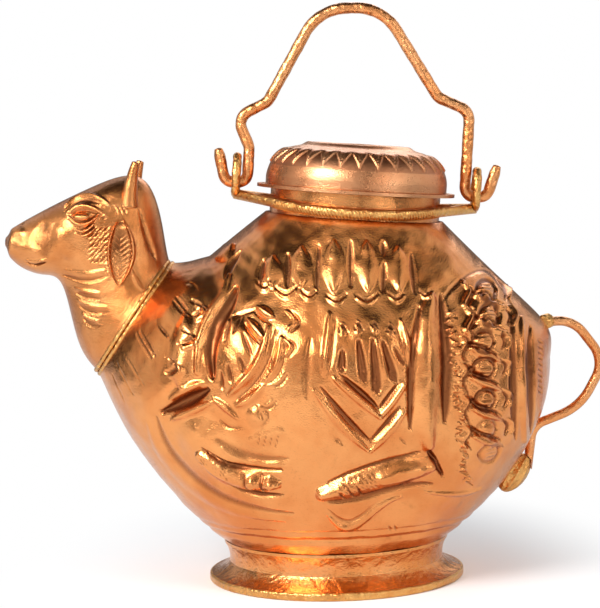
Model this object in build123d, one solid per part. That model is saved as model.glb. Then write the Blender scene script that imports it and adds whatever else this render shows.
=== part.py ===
"""Cow-shaped copper water vessel (kamandal) with a lift-off lid and a swinging bail.

Frame: millimetres, +Z up, origin at the centre of the foot on the table.
The cow looks along -X, its left flank is on -Y, and the plane Y = 0 is the seam between the two
beaten halves of the pot, the chest and the head.
"""

from build123d import *
import os
from math import asin, cos, degrees, exp, log, radians, sin, sqrt

os.makedirs("parts", exist_ok=True)

# ---------------------------------------------------------------- driving dimensions (mm, degrees)
SHEET = 0.9  # copper sheet of the pot, chest and head
HAIR = 0.1  # what is left open between pieces that only lie on each other
SEAM_GAP = 0.1  # brazed seam between two halves

# foot
FOOT_RADIUS = 46.0
FOOT_RIM_HEIGHT = 2.8
FOOT_RIM_THICKNESS = 2.4
FOOT_RIM_FILLET = 0.8
WAIST_INSET = 1.8  # how far the waist is drawn in from the pot's base
WAIST_HEIGHT = 7.0
WAIST_HOLLOW = 0.7
FLARE_HOLLOW = 1.4
BASE_HEIGHT = 14.0  # underside of the plate that closes the pot
BASE_RADIUS = 40.4
BASE_THICKNESS = 1.0

# pot
BELLY_X = 1.5  # the bowl sits a little towards the tail
BELLY_HEIGHT = 77.5
BELLY_HALF_WIDTH = 77.2
BELLY_HALF_DEPTH = 59.0
BOWL_POWER = 0.93  # fullness of the bowl between the base and the belly
SHOULDER_STEEPNESS = 1.31  # the shoulder's cone would reach the belly at 1/1.31 of the shoulder's height
SHOULDER_ROUNDING = 0.08

# neck: its frame leans towards the tail, as the hand-made original does
NECK_LEAN = 5.0
RIM_X = 10.2  # centre of the collar's top edge
RIM_Z = 138.5
COLLAR_RADIUS = 30.4
COLLAR_WALL = 0.8
COLLAR_HEIGHT = 12.0
POT_NECK_DROP = 8.6  # from the collar's top edge down to the pot's own neck edge

# hoop round the neck, and the two eyes that carry the bail
HOOP_DIAMETER = 3.6
HOOP_PLAY = 0.4  # between the hoop and the collar
EYE_X = 43.0  # from the neck's axis
EYE_WIDTH = 12.6
EYE_HEIGHT = 16.4
EYE_THICKNESS = 3.2
EYE_METAL = 3.2
EYE_FILLET = 0.8
EYE_FOOT_DROP = 4.6  # the eye's lowest point, below the collar's top edge

# bail, drawn upright above the two eyes
BAIL_DIAMETER = 4.2
BAIL_PLAY = 0.3  # between the bail and each eye
BAIL_X = 10.0  # its middle
BAIL_TOP_Z = 204.1
BAIL_ARCH_HALF = 11.4
BAIL_ARCH_RADIUS = 17.0
BAIL_WAIST_HALF = 30.4
BAIL_WAIST_Z = 171.6
BAIL_SHOULDER_HALF = 41.6
BAIL_SHOULDER_Z = 166.4
BAIL_BEND_RADIUS = 5.0
BAIL_HOOK_RADIUS = 3.4
BAIL_HOOK_RISE = 11.5
BAIL_HOOK_SPLAY = 3.0

# lid
LID_SEAT = 0.3  # between the collar's top edge and the brim
LID_PLAY = 0.35  # between the collar's bore and the skirt
LID_SHEET = 0.8
LID_BRIM_RADIUS = 35.4
LID_BRIM_THICKNESS = 1.1
LID_DOME_RADIUS = 33.0
LID_DOME_HEIGHT = 16.4
LID_DOME_WALL_HEIGHT = 3.0
LID_SHOULDER_RADIUS = 29.4
LID_SHOULDER_HEIGHT = 11.4
LID_TOP_RADIUS = 18.6
LID_WELL_RADIUS = 15.8
LID_WELL_DEPTH = 1.6
LID_SKIRT_DEPTH = 8.0

# Places on the cow are given from the pot's belly: on the chest and the head from its frontmost point,
# on the tail from its rearmost one, and on the legs and the chased forms from its middle (x), and above it (rise).

# chest: sections from the head seam into the pot, each by its points at the back and at the breast
CHEST_BACK_X = (18.6, 25.2, 33.2, 47.7)
CHEST_BACK_RISE = (37.4, 37.9, 39.5, 36.5)
CHEST_BREAST_X = (-8.3, -5.1, 3.1, 31.7)
CHEST_BREAST_RISE = (-1.0, -10.5, -26.0, -47.5)
CHEST_HALF_DEPTH = (19.5, 28.5, 38.5, 36.0)

# head: sections that fan out from the throat, from the seam round to the muzzle
HEAD_BACK_X = (18.6, 17.1, 10.9, -7.8, -28.8, -40.0)
HEAD_BACK_RISE = (37.4, 45.0, 66.8, 66.5, 57.5, 50.5)
HEAD_THROAT_X = (-8.3, -15.3, -20.1, -27.3, -35.3, -40.6)
HEAD_THROAT_RISE = (-1.0, 10.5, 30.1, 34.5, 37.7, 42.5)
HEAD_HALF_DEPTH = (19.5, 17.2, 15.4, 15.2, 9.6, 6.0)

# trim of the head
SEAM_BAND_DIAMETER = 3.4
HORN_BASE_RADIUS = 3.4
HORN_TIP_RADIUS = 1.1
HORN_ROOT = (5.1, 10.0, 59.5)
HORN_TIP = (8.5, 11.2, 74.4)
HORN_BOW = 1.6
EAR_THICKNESS = 1.6
EAR_REACH = 16.8  # from the plane Y = 0 to the ear's outer face
EAR_ROOT = (3.3, 55.5)
EAR_TIP = (1.1, 30.3)
EAR_FRONT_BOW = 4.6
EAR_BACK_BOW = 5.0

# tail handle: the rod's centre line, from the rump round to the tuft
TAIL_DIAMETER = 3.4
TAIL_X = (-3.7, 8.8, 19.9, 10.8, -6.5, -8.7)
TAIL_RISE = (12.5, 13.1, -1.9, -18.5, -24.9, -40.5)
TAIL_BENDS = (11.0, 11.0, 20.0, 7.0)
TUFT_RADIUS = 4.8
TUFT_LENGTH = 16.5
TUFT_CENTRE = (-13.3, -41.9)
TUFT_SLOPE = 52.0

# folded legs: centre line in the side view, half width and relief, from the body to the hoof
FORELEG_X = (-51.5, -42.5, -32.5, -21.5)
FORELEG_RISE = (-27.5, -34.0, -39.0, -40.9)
FORELEG_HALF_WIDTH = (8.0, 6.4, 5.0, 4.2)
FORELEG_RELIEF = (2.0, 3.0, 3.2, 2.4)
HIND_LEG_X = (31.5, 20.5, 6.5, -4.5)
HIND_LEG_RISE = (-30.5, -32.9, -36.5, -38.9)
HIND_LEG_HALF_WIDTH = (4.6, 4.4, 4.0, 3.0)
HIND_LEG_RELIEF = (3.0, 3.4, 3.0, 2.0)

# chased forms of the flank: leaves by their two ends and half width, chevrons by their lines, roundels by their middles
CHASING_RELIEF = 1.5
LEAVES = (
    ((32.4, 26.0), (29.4, -26.0), 5.0),  # the blade on the haunch
    ((-35.0, 22.0), (-34.5, -5.0), 7.0),  # the middle of the fan on the shoulder
    ((-2.3, 23.5), (-5.1, 2.5), 2.4),
    ((21.5, 20.0), (24.5, 3.5), 2.4),
)
CHEVRON_WIDTH = 3.6
CHEVRONS = (
    ((-8.5, -2.9), (0.5, -14.9), (9.9, -24.3), (16.9, -17.5), (22.5, -10.5)),
    ((-1.5, 0.9), (5.9, -5.9), (13.5, -12.3), (17.9, -7.5), (22.1, -1.9)),
)
ROUNDEL_RADIUS = 3.2
ROUNDELS = ((52.5, 18.5), (49.7, 10.5), (49.7, 1.5), (50.1, -9.5), (50.5, -19.9))

# ---------------------------------------------------------------- shared frames and helpers
LEAN = radians(NECK_LEAN)
NECK_ALONG = (cos(LEAN), 0, -sin(LEAN))
NECK_UP = (sin(LEAN), 0, cos(LEAN))
NECK = Plane(origin=(RIM_X, 0, RIM_Z), x_dir=NECK_ALONG, z_dir=NECK_UP)
FAR = 400.0  # larger than the whole vessel, for cutting tools
WAIST_RADIUS = BASE_RADIUS - WAIST_INSET
BELLY_FRONT = BELLY_X - BELLY_HALF_WIDTH
BELLY_BACK = BELLY_X + BELLY_HALF_WIDTH


def moved(values, by):
    """The values, each moved by the same distance."""
    return tuple(value + by for value in values)


def neck_point(along, rise):
    """A point of the plane Y = 0, given in the neck's frame."""
    return RIM_X + along * cos(LEAN) + rise * sin(LEAN), RIM_Z - along * sin(LEAN) + rise * cos(LEAN)


def half_space(sign):
    """Everything on one side of the plane Y = 0."""
    keep = Align.MIN if sign > 0 else Align.MAX
    return Box(FAR, FAR, FAR, align=(Align.CENTER, keep, Align.CENTER))


def half_ring(half_length, half_depth, wall):
    """Half of an elliptical ring: the section of a half shell, cut along its first axis."""
    outer = EllipticalCenterArc((0, 0), half_length, half_depth, 0, arc_size=180)
    inner = EllipticalCenterArc((0, 0), half_length - wall, half_depth - wall, 0, arc_size=180)
    return make_face(outer + inner + Line(outer @ 0, inner @ 0) + Line(outer @ 1, inner @ 1))


def half_oval(half_length, half_depth):
    """Half of an ellipse, cut along its first axis."""
    arc = EllipticalCenterArc((0, 0), half_length, half_depth, 0, arc_size=180)
    return make_face(arc + Line(arc @ 0, arc @ 1))


def full_oval(half_length, half_depth, inset):
    """The section of a solid form; its loft's own seam stays off the plane Y = 0."""
    return Ellipse(half_depth - inset, half_length - inset, rotation=90)


def side_view_section(back, throat):
    """The plane through two points of the side view, its first axis from throat to back, and half their span."""
    length = sqrt((back[0] - throat[0]) ** 2 + (back[1] - throat[1]) ** 2)
    along = ((back[0] - throat[0]) / length, 0, (back[1] - throat[1]) / length)
    middle = ((back[0] + throat[0]) / 2, 0, (back[1] + throat[1]) / 2)
    return Plane(origin=middle, x_dir=along, z_dir=(along[2], 0, -along[0])), length / 2


def turned_skin(low, high, hollow, wall):
    """A turned skin between two (radius, height) edges, its side hollowed in between them."""
    middle = ((low[0] + high[0]) / 2 - hollow, (low[1] + high[1]) / 2)
    outside = ThreePointArc(low, middle, high)
    inner_low, inner_high = (low[0] - wall, low[1]), (high[0] - wall, high[1])
    inside = ThreePointArc(inner_low, (middle[0] - wall, middle[1]), inner_high)
    edges = outside + inside + Line(low, inner_low) + Line(high, inner_high)
    return revolve(Plane.XZ * make_face(edges), Axis.Z)


# ---------------------------------------------------------------- foot
def foot_rim():
    """The strip that stiffens the foot's edge, with the flat face that the vessel stands on."""
    strip = Pos(FOOT_RADIUS - FOOT_RIM_THICKNESS / 2, FOOT_RIM_HEIGHT / 2) * RectangleRounded(
        FOOT_RIM_THICKNESS, FOOT_RIM_HEIGHT, FOOT_RIM_FILLET
    )
    return revolve(Plane.XZ * strip, Axis.Z)


def foot_ring():
    """The flared ring of the foot, standing on the rim strip."""
    edge = (FOOT_RADIUS - FOOT_RIM_FILLET, FOOT_RIM_HEIGHT)
    return turned_skin(edge, (WAIST_RADIUS, WAIST_HEIGHT), FLARE_HOLLOW, SHEET)


def foot_collar():
    """The upright band between the flared ring and the pot."""
    return turned_skin((WAIST_RADIUS, WAIST_HEIGHT), (BASE_RADIUS, BASE_HEIGHT), WAIST_HOLLOW, SHEET)


def base_plate():
    """The plate that closes the pot."""
    plate = Cylinder(BASE_RADIUS, BASE_THICKNESS, align=(Align.CENTER, Align.CENTER, Align.MIN))
    return Pos(0, 0, BASE_HEIGHT) * plate


# ---------------------------------------------------------------- pot
POT_BOTTOM = BASE_HEIGHT + BASE_THICKNESS
POT_TOP_X, POT_TOP = neck_point(0, -POT_NECK_DROP)
SHOULDER_SLOPE = SHOULDER_STEEPNESS * (BELLY_HALF_WIDTH - COLLAR_RADIUS) / (POT_TOP - BELLY_HEIGHT)
SLOPING_WALL = SHEET * sqrt(1 + SHOULDER_SLOPE**2)  # the sheet, measured level across the shoulder
WALL_SETTLING = 3.0  # the wall reaches that measure in 1/3 of the shoulder's height
POT_NECK_RADIUS = COLLAR_RADIUS + HAIR + SLOPING_WALL
POT_SECTIONS = 11
OUTLINE_STEPS = 400  # steps in which the outline's length is measured


def bowl_share(t):
    """How far the bowl has swelled towards the belly, at the share t of its height."""
    return (1 - (1 - t) ** 2) ** BOWL_POWER


def shoulder_share(t):
    """What is left of the belly's swell, at the share t of the shoulder's height."""
    cone = SHOULDER_STEEPNESS * (1 - t)
    return 1 - SHOULDER_ROUNDING * log(1 + exp((1 - cone) / SHOULDER_ROUNDING))


def pot_level(q):
    """The middle, height, half width and half depth of the pot: q is 0 at the base, 1 at the belly, 2 at the neck."""
    if q <= 1:
        share = bowl_share(q)
        x, z, end = BELLY_X * share, POT_BOTTOM + q * (BELLY_HEIGHT - POT_BOTTOM), BASE_RADIUS
    else:
        share = shoulder_share(q - 1)
        x = BELLY_X + (q - 1) * (POT_TOP_X - BELLY_X)
        z, end = BELLY_HEIGHT + (q - 1) * (POT_TOP - BELLY_HEIGHT), POT_NECK_RADIUS
    return x, z, end + (BELLY_HALF_WIDTH - end) * share, end + (BELLY_HALF_DEPTH - end) * share


def pot_steps():
    """The levels of the sections, spaced evenly along the pot's outline."""
    levels = [2 * i / OUTLINE_STEPS for i in range(OUTLINE_STEPS + 1)]
    run = [0.0]
    for low, high in zip(levels, levels[1:]):
        (_, z_low, width_low, _), (_, z_high, width_high, _) = pot_level(low), pot_level(high)
        run.append(run[-1] + sqrt((z_high - z_low) ** 2 + (width_high - width_low) ** 2))
    marks = [run[-1] * i / (POT_SECTIONS - 1) for i in range(POT_SECTIONS)]
    return [min(levels, key=lambda q: abs(run[levels.index(q)] - mark)) for mark in marks]


def pot_sections():
    """Each level's plane, half width, half depth and wall; the levels come to lean as the neck does."""
    for q in pot_steps():
        x, z, width, depth = pot_level(q)
        rise = max(q - 1, 0)
        lean = LEAN * rise
        plane = Plane(origin=(x, 0, z), x_dir=(-cos(lean), 0, sin(lean)), z_dir=(sin(lean), 0, cos(lean)))
        yield plane, width, depth, SHEET + (SLOPING_WALL - SHEET) * min(WALL_SETTLING * rise, 1)


def pot_form(inset):
    """The pot as a solid form, drawn in by inset."""
    return loft([plane * full_oval(width, depth, inset) for plane, width, depth, _ in pot_sections()])


def pot_room():
    """The room in the pot as a solid form."""
    return loft([plane * full_oval(width, depth, wall) for plane, width, depth, wall in pot_sections()])


def left_pot_shell():
    """The left half of the pot's wall, open at the neck and at the base."""
    return loft([plane * half_ring(width, depth, wall) for plane, width, depth, wall in pot_sections()])


def bowl_surface(x, z):
    """Half the bowl's depth at a point of the side view, below the belly."""
    middle, _, width, depth = pot_level((z - POT_BOTTOM) / (BELLY_HEIGHT - POT_BOTTOM))
    return depth * sqrt(1 - ((x - middle) / width) ** 2)


def left_leg(xs, rises, half_widths, reliefs):
    """A folded leg beaten out of the left flank: a loft of ovals that follow the bowl, half of each standing out."""
    points = [(BELLY_X + x, BELLY_HEIGHT + rise) for x, rise in zip(xs, rises)]
    sections = []
    for i, (x, z) in enumerate(points):
        (x_before, z_before), (x_after, z_after) = points[max(i - 1, 0)], points[min(i + 1, len(points) - 1)]
        y = bowl_surface(x, z)
        run_y = bowl_surface(x_after, z_after) - bowl_surface(x_before, z_before)
        slope_x = bowl_surface(x + 1, z) - y
        slope_z = bowl_surface(x, z + 1) - y
        plane = Plane(
            origin=(x, -y, z),
            x_dir=(-slope_x, -1, -slope_z),
            z_dir=(x_after - x_before, -run_y, z_after - z_before),
        )
        sections.append(plane * Ellipse(reliefs[i], half_widths[i]))
    return loft(sections)


def leaf_outline(end, other_end, half_width):
    """A leaf in the side view, between its two ends."""
    end = Vector(BELLY_X + end[0], BELLY_HEIGHT + end[1])
    other_end = Vector(BELLY_X + other_end[0], BELLY_HEIGHT + other_end[1])
    across = (other_end - end).normalized().rotate(Axis.Z, 90) * half_width
    middle = (end + other_end) * 0.5
    return make_face(ThreePointArc(end, middle + across, other_end) + ThreePointArc(end, middle - across, other_end))


def chased_outlines():
    """The outlines of the forms chased into the flank, in the side view."""
    for leaf in LEAVES:
        yield leaf_outline(*leaf)
    for line in CHEVRONS:
        yield trace(Polyline(*[(BELLY_X + x, BELLY_HEIGHT + rise) for x, rise in line]), CHEVRON_WIDTH)
    for x, rise in ROUNDELS:
        yield Pos(BELLY_X + x, BELLY_HEIGHT + rise) * Circle(ROUNDEL_RADIUS)


def left_flank(chest_room):
    """The left half of the pot with its legs, its chased forms and half of the opening into the chest."""
    shell, room = left_pot_shell() - chest_room, pot_room()
    shell += left_leg(FORELEG_X, FORELEG_RISE, FORELEG_HALF_WIDTH, FORELEG_RELIEF) - room
    shell += left_leg(HIND_LEG_X, HIND_LEG_RISE, HIND_LEG_HALF_WIDTH, HIND_LEG_RELIEF) - room
    raised, within = pot_form(-CHASING_RELIEF), pot_form(SHEET / 2)
    for outline in chased_outlines():
        shell += extrude(Plane.XZ * outline, amount=FAR) & raised - within
    return shell


# ---------------------------------------------------------------- chest and head
CHEST = (CHEST_BACK_X, CHEST_BACK_RISE, CHEST_BREAST_X, CHEST_BREAST_RISE, CHEST_HALF_DEPTH)
HEAD = (HEAD_BACK_X, HEAD_BACK_RISE, HEAD_THROAT_X, HEAD_THROAT_RISE, HEAD_HALF_DEPTH)


def form_sections(form):
    """Each section's plane, half length and half depth."""
    for back_x, back_rise, throat_x, throat_rise, half_depth in zip(*form):
        back = (BELLY_FRONT + back_x, BELLY_HEIGHT + back_rise)
        throat = (BELLY_FRONT + throat_x, BELLY_HEIGHT + throat_rise)
        plane, half_length = side_view_section(back, throat)
        yield plane, half_length, half_depth


def solid_form(form, inset):
    """The chest or the head as one solid form, drawn in by inset."""
    return loft([plane * full_oval(length, depth, inset) for plane, length, depth in form_sections(form)])


def left_shell(form):
    """The left half of the wall of the chest or the head, open at both ends."""
    return loft([plane * half_ring(length, depth, SHEET) for plane, length, depth in form_sections(form)])


def left_form(form):
    """The left half of the chest or the head as a solid form, beside the brazed seam."""
    half = loft([plane * half_oval(length, depth) for plane, length, depth in form_sections(form)])
    return Pos(0, -SEAM_GAP / 2, 0) * half


def seam_band(bodies):
    """The wire laid round the seam between the head and the chest."""
    plane, half_length, half_depth = next(form_sections(HEAD))
    path = (plane * Ellipse(half_length, half_depth)).wire()
    profile = Plane(origin=path @ 0, z_dir=path % 0) * Circle(SEAM_BAND_DIAMETER / 2)
    band = sweep(profile, path)
    for form in bodies:
        band -= form
    return band


def horn(sign, head):
    """A horn, bowed forwards, standing on the head."""
    root = Vector(BELLY_FRONT + HORN_ROOT[0], sign * HORN_ROOT[1], BELLY_HEIGHT + HORN_ROOT[2])
    tip = Vector(BELLY_FRONT + HORN_TIP[0], sign * HORN_TIP[1], BELLY_HEIGHT + HORN_TIP[2])
    middle = (root + tip) * 0.5 - Vector(HORN_BOW, 0, 0)
    spine = ThreePointArc(root, middle, tip)
    radii = (HORN_BASE_RADIUS, (HORN_BASE_RADIUS + HORN_TIP_RADIUS) / 2, HORN_TIP_RADIUS)
    rings = [
        Plane(origin=spine @ share, z_dir=spine % share) * Circle(radius)
        for share, radius in zip((0, 0.5, 1), radii)
    ]
    return loft(rings) - head


def ear(sign, head):
    """An ear: a leaf of sheet that hangs along the cheek and is fitted to it."""
    root = (BELLY_FRONT + EAR_ROOT[0], BELLY_HEIGHT + EAR_ROOT[1])
    tip = (BELLY_FRONT + EAR_TIP[0], BELLY_HEIGHT + EAR_TIP[1])
    middle = ((root[0] + tip[0]) / 2, (root[1] + tip[1]) / 2)
    front = ThreePointArc(root, (middle[0] - EAR_FRONT_BOW, middle[1]), tip)
    back = ThreePointArc(root, (middle[0] + EAR_BACK_BOW, middle[1]), tip)
    cheek = Plane.XZ.offset(-sign * EAR_REACH)
    return extrude(cheek * make_face(front + back), amount=sign * EAR_THICKNESS) - head


# ---------------------------------------------------------------- neck, hoop and eyes
def neck_collar():
    """The upright collar in the pot's neck, which the lid closes."""
    wall = Circle(COLLAR_RADIUS) - Circle(COLLAR_RADIUS - COLLAR_WALL)
    return extrude(NECK * wall, amount=-COLLAR_HEIGHT)


BAIL_RISE = EYE_METAL - EYE_FOOT_DROP + BAIL_PLAY + BAIL_DIAMETER / 2  # the bail's axis above the collar's edge
HOOP_DROP = HOOP_DIAMETER / 2 + BAIL_PLAY + BAIL_DIAMETER / 2 - BAIL_RISE  # the hoop passes just below the hooks
HOOP_RADIUS = COLLAR_RADIUS + HOOP_PLAY + HOOP_DIAMETER / 2
DEPTH_SLOPE = (POT_TOP - BELLY_HEIGHT) / SHOULDER_STEEPNESS / (BELLY_HALF_DEPTH - POT_NECK_RADIUS)
HOOP_LIFT = (HOOP_DIAMETER / 2 + HAIR) * sqrt(1 + DEPTH_SLOPE**2)
HOOP_FRONT_DROP = POT_NECK_DROP + (HOOP_RADIUS - POT_NECK_RADIUS) * DEPTH_SLOPE - HOOP_LIFT
HOOP_SAG = degrees(asin((HOOP_FRONT_DROP - HOOP_DROP) / HOOP_RADIUS))


def hoop_rod(sign, eyes):
    """Half of the hoop: a rod bent round the neck from one eye to the other, lying on the shoulder."""
    corner = HOOP_RADIUS * EYE_X / sqrt(EYE_X**2 - HOOP_RADIUS**2)
    path = FilletPolyline((-EYE_X, 0), (0, sign * corner), (EYE_X, 0), radius=HOOP_RADIUS)
    level = NECK.offset(-HOOP_DROP) * Rot(-sign * HOOP_SAG, 0, 0)
    path = level * path
    profile = Plane(origin=path @ 0, z_dir=path % 0) * Circle(HOOP_DIAMETER / 2)
    return (sweep(profile, path) & half_space(sign)) - eyes


def eye(sign):
    """The loop that holds one end of the bail, on edge to the neck."""
    plane = Plane(
        origin=neck_point(sign * EYE_X, EYE_HEIGHT / 2 - EYE_FOOT_DROP)[:1]
        + (0,)
        + neck_point(sign * EYE_X, EYE_HEIGHT / 2 - EYE_FOOT_DROP)[1:],
        x_dir=NECK_UP,
        z_dir=NECK_ALONG,
    )
    outer = SlotOverall(EYE_HEIGHT, EYE_WIDTH)
    inner = SlotOverall(EYE_HEIGHT - 2 * EYE_METAL, EYE_WIDTH - 2 * EYE_METAL)
    loop = extrude(plane * (outer - inner), amount=EYE_THICKNESS / 2, both=True)
    return fillet(loop.edges(), EYE_FILLET)


# ---------------------------------------------------------------- bail
HOOK_SPAN = EYE_THICKNESS / 2 + BAIL_PLAY + BAIL_DIAMETER / 2  # from the eye's middle to the bail's arm


def bail():
    """The swinging bail: one rod, hooked through the eyes from inside."""
    points, bends = [], []
    for sign in (-1, 1):
        side = [
            neck_point(sign * (EYE_X + HOOK_SPAN + BAIL_HOOK_SPLAY), BAIL_RISE + BAIL_HOOK_RISE),
            neck_point(sign * (EYE_X + HOOK_SPAN), BAIL_RISE),
            neck_point(sign * (EYE_X - HOOK_SPAN), BAIL_RISE),
            neck_point(sign * (EYE_X - HOOK_SPAN), EYE_HEIGHT - EYE_FOOT_DROP + BAIL_DIAMETER / 2),
            (BAIL_X + sign * BAIL_SHOULDER_HALF, BAIL_SHOULDER_Z),
            (BAIL_X + sign * BAIL_WAIST_HALF, BAIL_WAIST_Z),
            (BAIL_X + sign * BAIL_ARCH_HALF, BAIL_TOP_Z),
        ]
        turns = [BAIL_HOOK_RADIUS] * 2 + [BAIL_BEND_RADIUS] * 3 + [BAIL_ARCH_RADIUS]
        points += side if sign < 0 else side[::-1]
        bends += turns if sign < 0 else turns[::-1]
    path = Plane.XZ * FilletPolyline(*points, radius=bends)
    profile = Plane(origin=path @ 0, z_dir=path % 0) * Circle(BAIL_DIAMETER / 2)
    return sweep(profile, path)


# ---------------------------------------------------------------- lid
BRIM_TOP = LID_SEAT + LID_BRIM_THICKNESS
SKIRT_RADIUS = COLLAR_RADIUS - COLLAR_WALL - LID_PLAY


def dome_outline(inset):
    """The dome's half outline from its edge to the middle of the well, drawn in by inset."""
    wall = Line(
        (LID_DOME_RADIUS - inset, BRIM_TOP), (LID_DOME_RADIUS - inset, BRIM_TOP + LID_DOME_WALL_HEIGHT)
    )
    shoulder = Spline(
        wall @ 1,
        (LID_SHOULDER_RADIUS - inset, BRIM_TOP + LID_SHOULDER_HEIGHT - inset / 2),
        (LID_TOP_RADIUS, BRIM_TOP + LID_DOME_HEIGHT - inset),
        tangents=((0, 1), (-1, 0)),
    )
    bank = Line(shoulder @ 1, (LID_WELL_RADIUS, BRIM_TOP + LID_DOME_HEIGHT - LID_WELL_DEPTH - inset))
    floor = Line(bank @ 1, (0, BRIM_TOP + LID_DOME_HEIGHT - LID_WELL_DEPTH - inset))
    return wall + shoulder + bank + floor


def lid_dome():
    """The lid's dome, with a sunk disc on top."""
    outer, inner = dome_outline(0), dome_outline(LID_SHEET)
    closing = Line(outer.edges()[0] @ 0, inner.edges()[0] @ 0)
    axis_edge = Line(
        (0, BRIM_TOP + LID_DOME_HEIGHT - LID_WELL_DEPTH),
        (0, BRIM_TOP + LID_DOME_HEIGHT - LID_WELL_DEPTH - LID_SHEET),
    )
    face = make_face(outer + inner + closing + axis_edge)
    return NECK * revolve(Plane.XZ * face, Axis.Z)


def lid_brim():
    """The flat brim that rests on the collar."""
    ring = Circle(LID_BRIM_RADIUS) - Circle(SKIRT_RADIUS - LID_SHEET)
    return extrude(NECK.offset(LID_SEAT) * ring, amount=LID_BRIM_THICKNESS)


def lid_skirt():
    """The skirt that centres the lid in the collar."""
    ring = Circle(SKIRT_RADIUS) - Circle(SKIRT_RADIUS - LID_SHEET)
    return extrude(NECK.offset(LID_SEAT) * ring, amount=-LID_SKIRT_DEPTH)


# ---------------------------------------------------------------- tail
def tail_tuft_form():
    """The tuft as a drop turned about its own length."""
    drop = Ellipse(TUFT_LENGTH / 2, TUFT_RADIUS) & Rectangle(
        TUFT_LENGTH, TUFT_RADIUS, align=(Align.CENTER, Align.MIN)
    )
    centre = Pos(BELLY_BACK + TUFT_CENTRE[0], 0, BELLY_HEIGHT + TUFT_CENTRE[1])
    return centre * Rot(0, -TUFT_SLOPE, 0) * revolve(drop, Axis.X)


def tail_rod():
    """The tail's rod as it is bent, before it is cut to the pot."""
    points = list(zip(moved(TAIL_X, BELLY_BACK), moved(TAIL_RISE, BELLY_HEIGHT)))
    path = Plane.XZ * FilletPolyline(*points, radius=TAIL_BENDS)
    profile = Plane(origin=path @ 0, z_dir=path % 0) * Circle(TAIL_DIAMETER / 2)
    return sweep(profile, path)


def main():
    """Builds every piece and writes one STEP file for each."""
    pieces = {}
    pieces["foot_rim"] = foot_rim()
    pieces["foot_ring"] = foot_ring()
    pieces["foot_collar"] = foot_collar()
    pieces["base_plate"] = base_plate()

    pot, left_chest, left_head = pot_form(0), left_form(CHEST), left_form(HEAD)
    right_chest, right_head = mirror(left_chest, Plane.XZ), mirror(left_head, Plane.XZ)
    left_halves = {
        "flank": left_flank(solid_form(CHEST, SHEET)),
        "chest": left_shell(CHEST) - pot,
        "head": left_shell(HEAD),
    }
    for name, shell in left_halves.items():
        half = Pos(0, -SEAM_GAP / 2, 0) * shell
        pieces[f"left_{name}"], pieces[f"right_{name}"] = half, mirror(half, Plane.XZ)
    whole_forms = (solid_form(CHEST, 0), solid_form(HEAD, 0))
    pieces["seam_band"] = seam_band(whole_forms + (left_chest, right_chest, left_head, right_head))
    for side, sign, head in (("left", -1, left_head), ("right", 1, right_head)):
        pieces[f"{side}_horn"] = horn(sign, head)
        pieces[f"{side}_ear"] = ear(sign, head) - pieces[f"{side}_horn"] - pieces[f"{side}_head"]

    pieces["neck_collar"] = neck_collar()
    pieces["head_side_eye"], pieces["tail_side_eye"] = eye(-1), eye(1)
    eyes = pieces["head_side_eye"] + pieces["tail_side_eye"]
    pieces["hoop_front_rod"], pieces["hoop_rear_rod"] = hoop_rod(-1, eyes), hoop_rod(1, eyes)
    tuft = tail_tuft_form() - pot
    rod = tail_rod() - pot
    pieces["tail_rod"] = rod - tuft
    pieces["tail_tuft"] = tuft

    pieces["lid_dome"] = lid_dome()
    pieces["lid_brim"] = lid_brim()
    pieces["lid_skirt"] = lid_skirt()
    pieces["bail"] = bail()
    for name, piece in pieces.items():
        print(name, len(piece.solids()), round(piece.volume), piece.is_valid)
        export_step(piece, f"parts/{name}.step")


main()
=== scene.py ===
"""Cow-shaped copper water vessel (kamandal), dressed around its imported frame.

Sizes are millimetres in the frame of the vessel: +Z up, the cow looks along -X and its left flank is on -Y.
They become metres where a mesh is made. The beaten skins are worked out from the same outlines as the solids
and carry the chased relief as real shape; the fittings keep their solids or are finer pieces over them.
"""

from __future__ import annotations

import logging
import math
from dataclasses import dataclass, field
from enum import Enum, IntEnum
from typing import Iterable, Sequence

import bpy
import numpy as np
from mathutils import Matrix, Quaternion, Vector


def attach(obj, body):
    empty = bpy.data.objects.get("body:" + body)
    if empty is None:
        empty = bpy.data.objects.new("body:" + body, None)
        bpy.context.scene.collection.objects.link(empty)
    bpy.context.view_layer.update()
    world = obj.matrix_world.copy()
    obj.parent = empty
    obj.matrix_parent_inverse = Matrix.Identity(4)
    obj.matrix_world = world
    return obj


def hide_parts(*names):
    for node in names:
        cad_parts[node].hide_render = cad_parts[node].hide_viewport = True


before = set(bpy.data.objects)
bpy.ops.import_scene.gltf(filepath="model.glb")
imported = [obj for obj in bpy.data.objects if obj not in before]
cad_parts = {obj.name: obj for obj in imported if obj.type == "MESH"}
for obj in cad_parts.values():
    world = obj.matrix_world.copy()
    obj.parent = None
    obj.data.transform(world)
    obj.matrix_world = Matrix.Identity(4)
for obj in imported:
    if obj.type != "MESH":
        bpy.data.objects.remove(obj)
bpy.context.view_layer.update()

LOG = logging.getLogger("kamandal")
MM = 0.001
VESSEL, LID, BAIL = "vessel", "lid", "bail"
Point = tuple[float, float]
Place = tuple[float, float, float]
Colour = tuple[float, float, float]
Path = Sequence[Point]
WHITE = (1.0, 1.0, 1.0, 1.0)


class Slot(Enum):
    """The record's material slots."""

    COPPER = "copper_sheet"
    BRASS = "brass_fittings"


class Way(IntEnum):
    """A way along one axis, as the sign of its coordinate."""

    @property
    def word(self) -> str:
        """The way's word in the names of pieces."""
        return self.name.lower()


class Side(Way):
    """The two flanks, along Y."""

    LEFT = -1
    RIGHT = 1


class End(Way):
    """The two ends of the vessel, along X."""

    HEAD = -1
    TAIL = 1


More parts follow.
